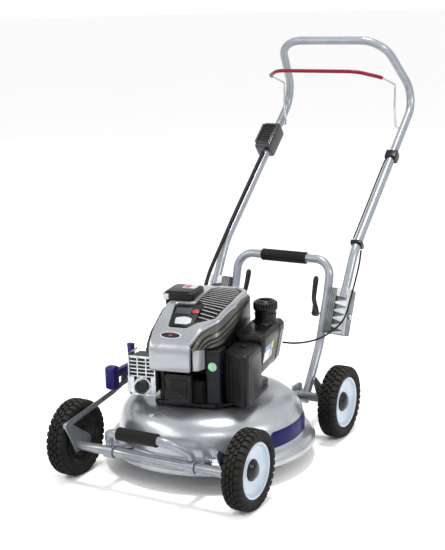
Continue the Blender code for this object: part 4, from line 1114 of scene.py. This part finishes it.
@dataclass
class Hood:
    """The silver hood, the louvred grille in its opening, and the blank badge plate."""

    sheet: HoodSheet = field(default_factory=HoodSheet)
    centre: tuple[float, float] = (0.0, -0.07)
    outer: tuple[tuple[float, float], ...] = (
        (0.0115, -0.19195), (0.0130, -0.1850), (0.0310, -0.1500), (0.0650, -0.1100), (0.0840, -0.0300),
        (0.0840, 0.0740), (0.0500, 0.1150), (0.0150, 0.1300), (-0.0400, 0.1300), (-0.0750, 0.1170), (-0.0980, 0.0800),
    )
    opening: tuple[tuple[float, float], ...] = (
        (-0.060, -0.146), (-0.010, -0.146), (0.010, -0.126), (0.052, -0.105), (0.068, -0.040), (0.070, 0.070),
        (0.040, 0.106), (-0.004, 0.106), (-0.020, 0.080), (-0.022, -0.040), (-0.030, -0.049), (-0.074, -0.049),
    )

    def polar(self, outline: Array, angle: Array) -> Array:
        """Distance from the sheet's centre to an outline in each direction."""
        dense = np.concatenate([outline, outline[:1]])
        share = np.linspace(0, 1, 12, endpoint=False)[:, None]
        dense = (dense[:-1, None] * (1 - share) + dense[1:, None] * share).reshape(-1, 2)
        offset = dense - np.array([self.centre[0], float(self.sheet.along(np.array([self.centre[1]]))[0])])
        theta = np.arctan2(offset[:, 1], offset[:, 0])
        order = np.argsort(theta)
        return np.interp(angle, theta[order], np.hypot(offset[:, 0], offset[:, 1])[order], period=TAU)

    def outlines(self) -> tuple[Array, Array]:
        """The hood's edge and its opening, in (u, s)."""
        edge = [(u, float(self.sheet.along(np.array([v]))[0])) for u, v in self.outer]
        edge[0] = (0.0115, 0.003)
        edge += [(-0.0980, 0.003)]
        radii = [0.005, 0.02, 0.03, 0.03, 0.03, 0.02, 0.02, 0.01, 0.01, 0.02, 0.02, 0.006]
        return filleted(edge, radii, 6), self.sheet.plan(list(self.opening),
            [0.010] * 4 + [0.012] * 2 + [0.012] * 2 + [0.01, 0.006, 0.006, 0.010])

    def rings(self, levels: list[tuple[float, float, float]]) -> Array:
        """Rings between the opening and the edge: each level is (share, push outwards, height)."""
        edge, hole = self.outlines()
        middle = np.array([self.centre[0], float(self.sheet.along(np.array([self.centre[1]]))[0])])
        corner = np.concatenate([edge, hole]) - middle
        angle = np.unique(np.round(np.concatenate([np.linspace(-math.pi, math.pi, 260, endpoint=False),
            np.arctan2(corner[:, 1], corner[:, 0])]), 3))
        inner, outer = self.polar(hole, angle), self.polar(edge, angle)
        share, push, height = (np.array(v)[:, None] for v in zip(*levels))
        radius = inner + share * (outer - inner) + push
        u = middle[0] + radius * np.cos(angle)
        s = middle[1] + radius * np.sin(angle)
        return self.sheet.at(u, s, np.broadcast_to(height, u.shape))

    def build(self) -> None:
        """Makes the hood, its grille and its badge plate."""
        lip = [(0, 0.0004, -0.0085), (0, 0.0004, -0.0026), (0, 0.0009, -0.0010), (0, 0.0020, -0.0001), (0, 0.0036,
            0.0)]
        field_rows = [(share, 0.0, 0.0) for share in (0.2, 0.35, 0.5, 0.65, 0.8)]
        rim = [(1, -0.0075, -0.0003), (1, -0.0050, -0.0010), (1, -0.0027, -0.0023), (1, -0.0010, -0.0042), (1,
            -0.0003, -0.0065), (1, 0, -0.0108)]
        under = [(1, -0.0025, -0.0108), (1, -0.0040, -0.0085), (0.5, 0, -0.0060)]
        shell = grid_shell(self.rings(lip + field_rows + rim + under), wrap_rows=True)
        add_piece("hood_shell", shell, HOOD_SILVER, "chassis", ("engine_cover",), Base.ENGINE, 50)
        edge, hole = self.outlines()
        base = self.sheet.film(inset(hole, 0.0006), -0.0075, -0.0052)
        fins: list[Shell] = []
        edges: list[Shell] = []
        for v in np.arange(-0.108, 0.112, 0.0142):
            left = float(np.interp(v, [-0.060, -0.048, -0.034, 0.080, 0.104], [0.0075, -0.006, -0.0195, -0.0175,
                -0.002]))
            right = float(np.interp(v, [-0.122, -0.105, -0.040, 0.070, 0.104], [0.018, 0.046, 0.0645, 0.0670, 0.040]))
            if right - left > 0.012:
                fins.append(self.fin(v, left, right, -0.30, [(-0.0018, -0.0055), (-0.0004, -0.0055), (0.0018,
                    -0.0016), (0.0006, -0.0014)]))
                edges.append(self.fin(v, left, right, -0.30, [(0.0003, -0.0019), (0.0018, -0.0019), (0.0020, -0.0011),
                    (0.0005, -0.0008)]))
        add_piece("grille_pan", base, BLACK_NYLON, "chassis", ("intake_grille",), Base.ENGINE)
        add_piece("grille_louvres", merged(fins), BLACK_NYLON, "chassis", base=Base.ENGINE)
        # The louvres' light grey top edges: a painted highlight.
        add_piece("grille_edges_painted_highlight", merged(edges), LOUVRE_PAINTED_HIGHLIGHT, "chassis", base=Base.ENGINE)
        plate = self.sheet.plan([(-0.0560, -0.1405), (-0.0120, -0.1405), (0.0030, -0.1250), (0.0030, -0.0560),
            (-0.0680, -0.0560)], [0.006] * 5)
        bezel = self.sheet.film(plate, -0.0054, -0.0026, 0.0008)
        add_piece("badge_bezel", bezel, BLACK_NYLON, "chassis", base=Base.ENGINE)
        window = self.sheet.plan([(-0.0480, -0.1320), (-0.0150, -0.1320), (-0.0070, -0.1220), (-0.0090, -0.1090),
            (-0.0290, -0.1020), (-0.0530, -0.1090)], [0.004, 0.004, 0.004, 0.006, 0.024, 0.006])
        add_piece("badge_lower_panel", self.sheet.film(window, -0.0027, -0.0021), GREY_FILM, "chassis",
            base=Base.ENGINE)
        panel = self.sheet.plan([(-0.0610, -0.0940), (-0.0200, -0.0940), (-0.0200, -0.0680), (-0.0640, -0.0680)],
            [0.003] * 4)
        add_piece("badge_upper_panel", self.sheet.film(panel, -0.0027, -0.0021), SLATE_FILM, "chassis",
            base=Base.ENGINE)
        s_dot = float(self.sheet.along(np.array([-0.081]))[0])
        dot = circle(0.0092, 28) + np.array([-0.0085, s_dot])
        add_piece("badge_red_disc", self.sheet.film(dot, -0.0027, -0.0017), RED_FILM, "chassis",
            base=Base.ENGINE)
        s_oval = float(self.sheet.along(np.array([-0.168]))[0])
        oval = circle(0.0290, 40, 0.36) + np.array([-0.045, s_oval])
        add_piece("badge_oval", self.sheet.film(oval, 0.0001, 0.0009), GREY_FILM, "chassis",
            base=Base.ENGINE)
        inner_oval = circle(0.0258, 40, 0.31) + np.array([-0.045, s_oval])
        add_piece("badge_oval_field", self.sheet.film(inner_oval, 0.0006, 0.0012), GREY_NYLON, "chassis",
            base=Base.ENGINE)
        spot = circle(0.0046, 24, 0.7) + np.array([-0.045, s_oval])
        add_piece("badge_oval_spot", self.sheet.film(spot, 0.0009, 0.0016), RED_FILM, "chassis",
            base=Base.ENGINE)

    def fin(self, v: float, left: float, right: float, slope: float, corners: list[tuple[float, float]]) -> Shell:
        """A thin bar across the opening: the section's corners carried along a line that runs back to the right."""
        u = np.linspace(left, right, 12)
        s = float(self.sheet.along(np.array([v]))[0]) + slope * (u - 0.022)
        section = np.array(corners)
        grid = self.sheet.at(u[:, None], s[:, None] + section[None, :, 0], np.broadcast_to(section[None, :, 1], (12,
            len(section))))
        return grid_shell(grid)


@dataclass
class Shrouds:
    """The black housing under the hood, its warm grey flank, and the panel beside the cylinder."""

    top: tuple[tuple[float, float], ...] = ((0.090, 0.4290), (0.020, 0.4260), (-0.060, 0.4165))

    def housing(self) -> None:
        """The black housing: its side profile rounded off towards the left, and a flank on the right."""
        left = [(0.118, 0.262), (0.118, 0.412), *self.top, (-0.1457, 0.3795), (-0.1728, 0.3550), (-0.1800, 0.3392),
            (-0.1800, 0.3255), (-0.084, 0.3255), (-0.084, 0.262)]
        outline = filleted(left, [0.010, 0.012, 0.02, 0.03, 0.03, 0.02, 0.012, 0.008, 0.004, 0.004, 0.004], 5)
        block = slab(outline, -0.1120, 0.010, "x", 0.0120, 6)
        flank = [(0.118, 0.262), (0.118, 0.405), (0.090, 0.418), (0.020, 0.402), (-0.050, 0.374), (-0.105, 0.350),
            (-0.135, 0.3425), (-0.1380, 0.3390), (-0.098, 0.3390), (-0.098, 0.262)]
        right = slab(filleted(flank, [0.010, 0.012, 0.02, 0.03, 0.02, 0.01, 0.002, 0.002, 0.004, 0.004], 5), 0.004,
            0.0765, "x", 0.0018, 2)
        vents = [slab(box_outline((-0.080 + k * 0.019, -0.072 + k * 0.019), (0.292, 0.352), 0.003, 3), -0.1132,
            -0.1105, "x", 0.0010, 2) for k in range(8)]
        add_piece("housing_shell", merged([block, right, *vents]), BLACK_NYLON, "chassis",
            ("blower_housing",), Base.ENGINE)

    def flank(self) -> None:
        """The slatted flank: a sheet ruled from the hood's edge down to the panel, with three grooves along it."""
        upper = spline([(0.0125, -0.1830, 0.3440), (0.0300, -0.1520, 0.3780), (0.0630, -0.1120, 0.3985), (0.0822,
            -0.0350, 0.4220), (0.0826, 0.0400, 0.4290), (0.0800, 0.0850, 0.4290)], 8)
        lower = spline([(0.0420, -0.1505, 0.3430), (0.0600, -0.1440, 0.3440), (0.0770, -0.1180, 0.3500), (0.0810,
            -0.0500, 0.3700), (0.0810, 0.0300, 0.3920), (0.0800, 0.0880, 0.4060)], 8)
        across = np.array([0, 0.03, 0.26, 0.27, 0.325, 0.335, 0.50, 0.51, 0.565, 0.575, 0.70, 0.71, 0.765, 0.775,
            0.97, 1.0])
        deep = np.array([0.004, 0, 0, 0.0030, 0.0030, 0, 0, 0.0030, 0.0030, 0, 0, 0.0030, 0.0030, 0, 0, 0.004])
        ruled = upper[:, None] * (1 - across[None, :, None]) + lower[:, None] * across[None, :, None]
        along = np.gradient(ruled, axis=0)
        normal = np.cross(along, np.gradient(ruled, axis=1))
        normal /= np.linalg.norm(normal, axis=2, keepdims=True)
        normal *= np.sign(normal[..., :1].mean() or 1.0)
        swell = 0.005 * np.sin(math.pi * across)[None, :, None]
        front = ruled + normal * (swell + 0.0012 - deep[None, :, None])
        back = ruled - normal * 0.006
        grid = np.concatenate([front, back[:, ::-1]], axis=1)
        add_piece("flank_slats", grid_shell(grid), WARM_GREY, "chassis", base=Base.ENGINE, smooth=30)
        grooves = []
        for k in (0.2975, 0.5375, 0.7375):
            line = (upper * (1 - k) + lower * k)[2:-1]
            bulge = normal[2:-1, 3] * (0.005 * math.sin(math.pi * k) - 0.0008)
            grooves.append(swept(line + bulge, circle(0.0034, 10)))
        add_piece("flank_grooves", merged(grooves), BLACK_NYLON, "chassis", base=Base.ENGINE)

    def build(self) -> None:
        """Makes the shrouds."""
        self.housing()
        self.flank()
        wing = slab(filleted([(0.0135, -0.1790), (0.0270, -0.1760), (0.0395, -0.1560), (0.0395, -0.1450), (0.0135,
            -0.1450)], [0.004, 0.006, 0.004, 0.002, 0.002], 4), 0.2880, 0.3440, "z", 0.003, 3)
        add_piece("hood_side_return", wing, HOOD_SILVER, "chassis", base=Base.ENGINE)
        panel = [slab(box_outline((0.0403, 0.0780), (-0.150, -0.0985), 0.004, 4), 0.196, 0.3385, "z", 0.003, 3)]
        panel.append(slab(box_outline((0.0425, 0.0760), (0.262, 0.326), 0.005, 4), -0.1522, -0.1490, "y", 0.0009, 2))
        add_piece("side_panel", merged(panel), GREY_NYLON, "chassis", ("engine_panel",), Base.ENGINE)
        disc = np.array([(0, 0), (0.0112, 0), (0.0116, 0.0004), (0.0112, 0.0009), (0.0096, 0.0009), (0.0092, 0.0006),
            (0, 0.0006)])
        add_piece("round_sticker", revolved(disc, (0.059, -0.1522, 0.296), (0, -1, 0), 40), GREEN_FILM, "chassis",
            base=Base.ENGINE)


@dataclass
class FuelAndAir:
    """The air filter's cover, the fuel tank with its blank labels, and the tank's cap."""

    cap: tuple[float, float, float] = (0.125, 0.096, 0.385)

    def filter_cover(self) -> None:
        """The cover: a box with a slanting front, soft edges, and ribs down its front and side."""
        corners = [(0.0823, -0.130), (0.158, -0.1761), (0.158, -0.0403), (0.0823, -0.0403)]
        outline = filleted(corners, [0.012, 0.014, 0.018, 0.012], 8)
        parts = [slab(outline, 0.196, 0.335, "z", 0.0105, 6)]
        slope = np.array([0.0657, -0.040]) / math.hypot(0.0657, 0.040)
        for k in range(4):
            foot = np.array([0.0875, -0.1331]) + slope * (0.006 + k * 0.0150)
            strip = np.array([foot - slope * 0.0028, foot + slope * 0.0028])
            out = np.array([slope[1], -slope[0]])
            ring = np.array([strip[0] + out * 0.0016, strip[1] + out * 0.0016, strip[1] - out * 0.003,
                strip[0] - out * 0.003])
            parts.append(slab(filleted([tuple(p) for p in ring], [0.0012] * 4, 3), 0.206, 0.322, "z", 0.0014, 2))
        parts.append(slab(box_outline((-0.1440, -0.0540), (0.2080, 0.3230), 0.012, 6), 0.1560, 0.1590, "x", 0.0022,
            3))
        parts.append(slab(inset(outline, -0.0011), 0.3005, 0.3045, "z", 0.0010, 2))
        knob = np.array([(0, 0), (0.0095, 0), (0.0095, 0.003), (0.008, 0.0045), (0, 0.0045)])
        parts.append(revolved(knob, (0.122, -0.085, 0.3345), (0, 0, 1), 24))
        add_piece("filter_housing", merged(parts), FILTER_NYLON, "chassis", ("air_filter_cover",),
            Base.ENGINE)

    def tank(self) -> None:
        """The tank: its cross profile carried along the engine, with a seam and ribs, and the filler neck."""
        corners = [(0.0823, 0.236), (0.140, 0.236), (0.148, 0.246), (0.163, 0.325), (0.163, 0.342), (0.154, 0.352),
            (0.0823, 0.352)]
        outline = filleted(corners, [0.006, 0.008, 0.008, 0.010, 0.008, 0.008, 0.006], 5)
        parts = [slab(outline, -0.040, 0.152, "y", 0.012, 6)]
        parts.append(slab(inset(outline, -0.0012), 0.1010, 0.1045, "y", 0.0010, 2))
        for k in range(5):
            v = 0.056 + k * 0.018
            low = np.array([0.1465, 0.246])
            rib = framed(slab(box_outline((0.010, 0.066), (-0.003, 0.003), 0.002, 3), -0.0008, 0.0018, "z", 0.0012,
                2), (low[0], v, low[1]), (np.array([0.1865, 0, 0.9825]), np.array([0, 1.0, 0]), np.array([0.9825, 0,
                -0.1865])))
            parts.append(rib)
        x, y, z = self.cap
        neck = np.array([(0, 0.346), (0.0345, 0.346), (0.0335, 0.352), (0.0300, 0.3545), (0.0288, 0.3575), (0.0288,
            0.3720), (0.0300, 0.3735), (0.0300, 0.3790), (0.0270, 0.3805), (0.0265, z - 0.0006), (0, z - 0.0006)])
        parts.append(revolved(neck, (x, y, 0.0), (0, 0, 1), 40))
        deckle = slab(box_outline((0.094, 0.148), (-0.030, 0.052), 0.008, 4), 0.350, 0.3535, "z", 0.0015, 2)
        parts.append(deckle)
        add_piece("tank_shell", merged(parts), BLACK_NYLON, "chassis", ("fuel_tank",), Base.ENGINE)
        axes = (np.array([0, 1.0, 0]), np.array([0.1865, 0, 0.9825]), np.array([0.9825, 0, -0.1865]))
        labels = (
            ("label_white", -0.026, 0.022, 0.030, 0.058, WHITE_FILM), ("label_blue", -0.026, 0.022, 0.058, 0.074,
                BLUE_FILM),
            ("label_yellow", 0.028, 0.046, 0.052, 0.074, YELLOW_FILM), ("label_pale", 0.028, 0.046, 0.030, 0.050,
                GREY_FILM),
        )
        for name, v0, v1, h0, h1, finish in labels:
            film = framed(slab(box_outline((v0, v1), (h0, h1), 0.0012, 2), -0.0004, 0.0009, "z", 0.0003, 1), (0.1482,
                0.0, 0.246), axes)
            add_piece(name, film, finish, "chassis", base=Base.ENGINE)

    def fuel_cap(self) -> None:
        """The cap: a turned profile whose rim dips between its ribs by a cosine's eighth power."""
        profile = np.array([(0, 0), (0.0290, 0), (0.0312, 0.0012), (0.0318, 0.0035), (0.0328, 0.0050), (0.0330,
            0.0070), (0.0330, 0.0200), (0.0322, 0.0226), (0.0300, 0.0243), (0.0262, 0.0251), (0.0250, 0.0262),
            (0.0240, 0.0280), (0.0215, 0.0288), (0.0120, 0.0290), (0.0105, 0.0283), (0, 0.0283)])
        ribbed = np.array([0, 0, 0, 0, 0, 1, 1, 1, 0.4, 0, 0, 0, 0, 0, 0, 0]) * 0.0022
        angle = np.linspace(0, TAU, 26 * 8, endpoint=False)
        r = profile[:, :1] - ribbed[:, None] * np.abs(np.cos(angle * 13)) ** 8
        x, y, z = self.cap
        grid = np.stack([x + r * np.cos(angle), y + r * np.sin(angle), np.repeat(z + profile[:, 1:], len(angle), 1)],
            -1)
        bar = slab(box_outline((x - 0.017, x + 0.017), (y - 0.0035, y + 0.0035), 0.003, 4), z + 0.0275, z + 0.0315,
            "z", 0.0012, 2)
        add_piece("fuel_cap_ribbed", merged([grid_shell(grid), bar]), BLACK_NYLON, "tank_cap",
            ("fuel_cap",), Base.ENGINE, 45)

    def build(self) -> None:
        """Makes the tank, its cap and the filter's cover."""
        self.filter_cover()
        self.tank()
        self.fuel_cap()


@dataclass
class Exhaust:
    """The muffler in its slotted guard, with the outlet through the guard's lower part."""

    outlet: tuple[float, float, float] = (-0.127, -0.170, 0.234)

    def rail(self, points: list[tuple[float, float]], low: float, high: float) -> Shell:
        """A strip of the guard: a line in plan given a wall by offsetting it both ways."""
        line = filleted(points, [0.016] * (len(points) - 2), 8, closed=False)
        way = np.gradient(line, axis=0)
        way /= np.linalg.norm(way, axis=1, keepdims=True)
        side = np.stack([way[:, 1], -way[:, 0]], 1) * 0.0008
        return slab(np.concatenate([line + side, (line - side)[::-1]]), low, high, "z", 0.0005, 1)

    def build(self) -> None:
        """Makes the guard as strips and posts, and the outlet as a ring round soot."""
        around = [(-0.1712, -0.092), (-0.1712, -0.1672), (-0.0905, -0.1672)]
        parts = [self.rail(around, 0.3085, 0.3148), self.rail(around, 0.2092, 0.2150)]
        for k in range(5):
            low = 0.2590 + k * 0.0098
            parts.append(self.rail(around, low, low + 0.0034))
        parts.append(self.rail([(-0.1712, -0.092), (-0.1712, -0.1672), (-0.1500, -0.1672)], 0.2150, 0.2590))
        parts.append(self.rail([(-0.1040, -0.1672), (-0.0905, -0.1672)], 0.2150, 0.2590))
        for u in (-0.1640, -0.1400, -0.1160, -0.0925):
            low = 0.2100 if u in (-0.1640, -0.0925) else 0.2560
            parts.append(slab(box_outline((u - 0.0019, u + 0.0019), (low, 0.3140), 0.001, 2), -0.1685, -0.1668, "y",
                0.0004, 1))
        x, y, z = self.outlet
        plate = np.array([(0.0165, 0.0016), (0.0235, 0.0016), (0.0245, 0.0010), (0.0245, 0.0), (0.0165, 0.0)])
        parts.append(revolved(plate, (x, -0.1668, z), (0, -1, 0), 40, closed=True))
        add_piece("guard_strips", merged(parts), BRIGHT_STEEL, "chassis", ("muffler_guard",),
            Base.ENGINE)
        tube = np.array([(0.0136, 0.0), (0.0168, 0.0), (0.0176, 0.0015), (0.0176, 0.0088), (0.0168, 0.0098), (0.0156,
            0.0100), (0.0144, 0.0096), (0.0136, 0.0086)])
        add_piece("outlet_ring", revolved(tube, (x, -0.1700, z), (0, -1, 0), 40, closed=True), HOT_STEEL, "chassis",
            base=Base.ENGINE)
        soot = np.array([(0, 0), (0.0140, 0), (0.0140, 0.0008), (0, 0.0006)])
        add_piece("outlet_soot", revolved(soot, (x, -0.1763, z), (0, -1, 0), 32), SOOT, "chassis",
            base=Base.ENGINE)
        dress("muffler", HOT_STEEL, 2.0)


@dataclass
class EngineCore:
    """The castings, the rotor and what is bolted to them."""

    def battery(self) -> None:
        """The starter battery: a rounded case with a raised lid, a blank label, and a silver latch."""
        case = slab(box_outline((-0.1158, -0.0303), (-0.0398, 0.0548), 0.013, 6), 0.4302, 0.4535, "z", 0.0055, 4)
        seam = slab(box_outline((-0.1163, -0.0298), (-0.0403, 0.0553), 0.013, 6), 0.4415, 0.4432, "z", 0.0008, 2)
        lid = slab(box_outline((-0.1090, -0.0370), (-0.0330, 0.0480), 0.010, 5), 0.4525, 0.4558, "z", 0.0016, 3)
        add_piece("battery_case", merged([case, seam, lid]), BLACK_NYLON, "battery_pack",
            ("battery",), Base.ENGINE)
        label = slab(box_outline((-0.078, -0.040), (0.006, 0.042), 0.002, 3), 0.4554, 0.4562, "z", 0.0003, 1)
        add_piece("battery_label", label, GREY_FILM, "battery_pack", base=Base.ENGINE)
        patch = slab(box_outline((-0.074, -0.058), (0.010, 0.038), 0.002, 3), 0.4558, 0.4564, "z", 0.0002, 1)
        add_piece("battery_patch", patch, RED_FILM, "battery_pack", base=Base.ENGINE)
        latch = np.array([(0, 0), (0.0100, 0), (0.0114, 0.0014), (0.0114, 0.0150), (0.0100, 0.0166), (0.0060, 0.0172),
            (0, 0.0172)])
        add_piece("battery_latch", revolved(latch, (-0.1065, -0.0330, 0.4335), (0, 0, 1), 32), BRIGHT_STEEL,
            "battery_pack", base=Base.ENGINE)
        tray = slab(box_outline((-0.1110, -0.0300), (-0.0380, 0.0540), 0.010, 5), 0.4160, 0.4298, "z", 0.003, 3)
        add_piece("battery_tray", tray, BLACK_NYLON, "chassis", base=Base.ENGINE)

    def castings(self) -> None:
        """The cylinder's fins, as thin plates round its core."""
        core = slab(box_outline((-0.064, 0.034), (-0.1572, -0.0860), 0.008, 4), 0.1975, 0.2560, "z", 0.003, 2)
        fins = [slab(box_outline((-0.0698, 0.0398), (-0.1578, -0.0870), 0.005, 3), z, z + 0.0024, "z", 0.0008,
            1) for z in np.arange(0.1985, 0.2550, 0.0066)]
        add_piece("cylinder_fins", merged([core, *fins]), CAST_IRON, "chassis", ("cylinder",),
            Base.ENGINE)
        cover = slab(box_outline((-0.0618, 0.0118), (0.2000, 0.2800), 0.010, 5), -0.1835, -0.1585, "y", 0.007, 4)
        panel = slab(box_outline((-0.0500, 0.0000), (0.2110, 0.2660), 0.006, 4), -0.1862, -0.1820, "y", 0.0016, 2)
        bars = [slab(box_outline((-0.046, -0.004), (z, z + 0.003), 0.001, 2), -0.1872, -0.1850, "y", 0.0008,
            1) for z in np.arange(0.2170, 0.2620, 0.0085)]
        bolts = [revolved(np.array([(0, 0), (0.0038, 0), (0.0038, 0.003), (0, 0.003)]), (u, -0.183, z), (0, -1, 0),
            6) for u, z in ((-0.0555, 0.2070), (0.0055, 0.2070), (-0.0555, 0.2735), (0.0055, 0.2735))]
        add_piece("rocker_box", merged([cover, panel, *bars, *bolts]), BLACK_NYLON, "chassis",
            ("rocker_cover",), Base.ENGINE)
        dress("crankcase", CAST_ALUMINIUM, 1.5)
        duct = slab(box_outline((-0.0880, -0.0720), (-0.1500, -0.0880), 0.005, 3), 0.1970, 0.3240, "z", 0.003, 2)
        add_piece("cooling_duct", duct, BLACK_NYLON, "chassis", base=Base.ENGINE)
        skirt = slab(filleted([(-0.108, -0.150), (0.060, -0.150), (0.120, -0.100), (0.132, 0.100), (0.060, 0.135),
            (-0.080, 0.130), (-0.108, 0.090)], [0.02] * 7, 6), 0.1815, 0.1950, "z", 0.004, 3)
        add_piece("engine_skirt", skirt, BLACK_NYLON, "chassis", base=Base.ENGINE)

    def build(self) -> None:
        """Makes the core."""
        self.battery()
        self.castings()
        dress("crankshaft", BRIGHT_STEEL, 0.6)
        dress("flywheel", CAST_ALUMINIUM, 0.8)
        dress("blade_hub", CAST_IRON, 0.8)
        dress("blade", BLADE_STEEL, 0.4)
        dress("blade_bolt", BRIGHT_STEEL, 0.6)
        dress("oil_cap", BLACK_NYLON, 1.2)


# ---- studio -----------------------------------------------------------------------------------
@dataclass
class Studio:
    """The pale floor, the soft lights and the camera."""

    position: tuple[float, float, float] = (1.5268, -2.9350, 1.2227)
    azimuth: float = 29.211
    elevation: float = 13.360
    roll: float = -1.361
    lens: float = 78.74

    def camera(self) -> None:
        """A camera at standing height, turned a little about its own view line."""
        a, e, roll = (math.radians(v) for v in (self.azimuth, self.elevation, self.roll))
        back = Vector((math.sin(a) * math.cos(e), -math.cos(a) * math.cos(e), math.sin(e)))
        right = Vector((math.cos(a), math.sin(a), 0.0))
        up = back.cross(right)
        turned_right = right * math.cos(roll) + up * math.sin(roll)
        turned_up = up * math.cos(roll) - right * math.sin(roll)
        data = bpy.data.cameras.new("Camera")
        data.lens = self.lens
        data.sensor_width = 36.0
        data.sensor_height = 36.0
        data.sensor_fit = "VERTICAL"
        made = bpy.data.objects.new("Camera", data)
        made.matrix_world = Matrix((
            (turned_right.x, turned_up.x, back.x, self.position[0]),
            (turned_right.y, turned_up.y, back.y, self.position[1]),
            (turned_right.z, turned_up.z, back.z, self.position[2]), (0, 0, 0, 1),
        ))
        bpy.context.scene.collection.objects.link(made)
        bpy.context.scene.camera = made

    def light(self, name: str, place: tuple[float, float, float], aim: tuple[float, float, float], size: tuple[float,
        float], power: float) -> None:
        """A rectangular soft light.

        Args:
            name: Its name.
            place: Where it hangs.
            aim: What it points at.
            size: Its width and height.
            power: Its power in watts.
        """
        data = bpy.data.lights.new(name, "AREA")
        data.shape = "RECTANGLE"
        data.size, data.size_y = size
        data.energy = power
        made = bpy.data.objects.new(name, data)
        made.location = place
        made.rotation_euler = (Vector(aim) - Vector(place)).to_track_quat("-Z", "Y").to_euler()
        bpy.context.scene.collection.objects.link(made)

    def floor(self) -> None:
        """A pale paper floor with a faint mottle."""
        angle = np.linspace(0, TAU, 96, endpoint=False)
        points = np.stack([FLOOR_RADIUS * np.cos(angle), FLOOR_RADIUS * np.sin(angle), np.full(96, -0.0005)], 1)
        mesh = bpy.data.meshes.new("floor")
        mesh.from_pydata(points, [], [list(range(96))])
        paper = Finish("Backdrop paper, white", "FBFBFB", "F9F9F9", Surface.PRINTED, 0.62, 0.03, grain_mm=4.0,
            relief_mm=0.01, mottle_mm=400.0)
        mesh.materials.append(paper.material())
        floor = bpy.data.objects.new("floor", mesh)
        bpy.context.scene.collection.objects.link(floor)

    def build(self) -> None:
        """Sets up the studio."""
        self.camera()
        self.floor()
        world = bpy.data.worlds.new("Studio")
        world.use_nodes = True
        world.node_tree.nodes["Background"].inputs["Color"].default_value = (1.0, 1.0, 1.0, 1.0)
        world.node_tree.nodes["Background"].inputs["Strength"].default_value = 1.0
        bpy.context.scene.world = world
        bpy.context.scene.view_settings.view_transform = "Standard"
        self.light("overhead", (0.25, -0.05, 3.3), (0.0, 0.0, 0.2), (0.5, 0.5), 85.0)
        self.light("side", (3.4, -0.5, 2.1), (0.0, 0.0, 0.2), (0.6, 0.6), 55.0)
        self.light("strip left", (-2.2, -2.0, 2.4), (0.0, 0.0, 0.35), (1.6, 0.10), 26.0)
        self.light("strip right", (1.6, -3.0, 2.9), (0.0, 0.0, 0.35), (1.6, 0.10), 26.0)
        self.light("front", (-1.4, -3.2, 1.9), (0.0, -0.2, 0.3), (1.6, 1.2), 18.0)


def main() -> None:
    """Builds the studio and the machine, in order."""
    Studio().build()
    Deck().build()
    RunningGear().build()
    Tubes().build()
    for label, side in SIDES:
        FoldJoint(label, side).build()
    Controls().build()
    Hood().build()
    Shrouds().build()
    FuelAndAir().build()
    Exhaust().build()
    EngineCore().build()


if __name__ == "__main__":
    main()
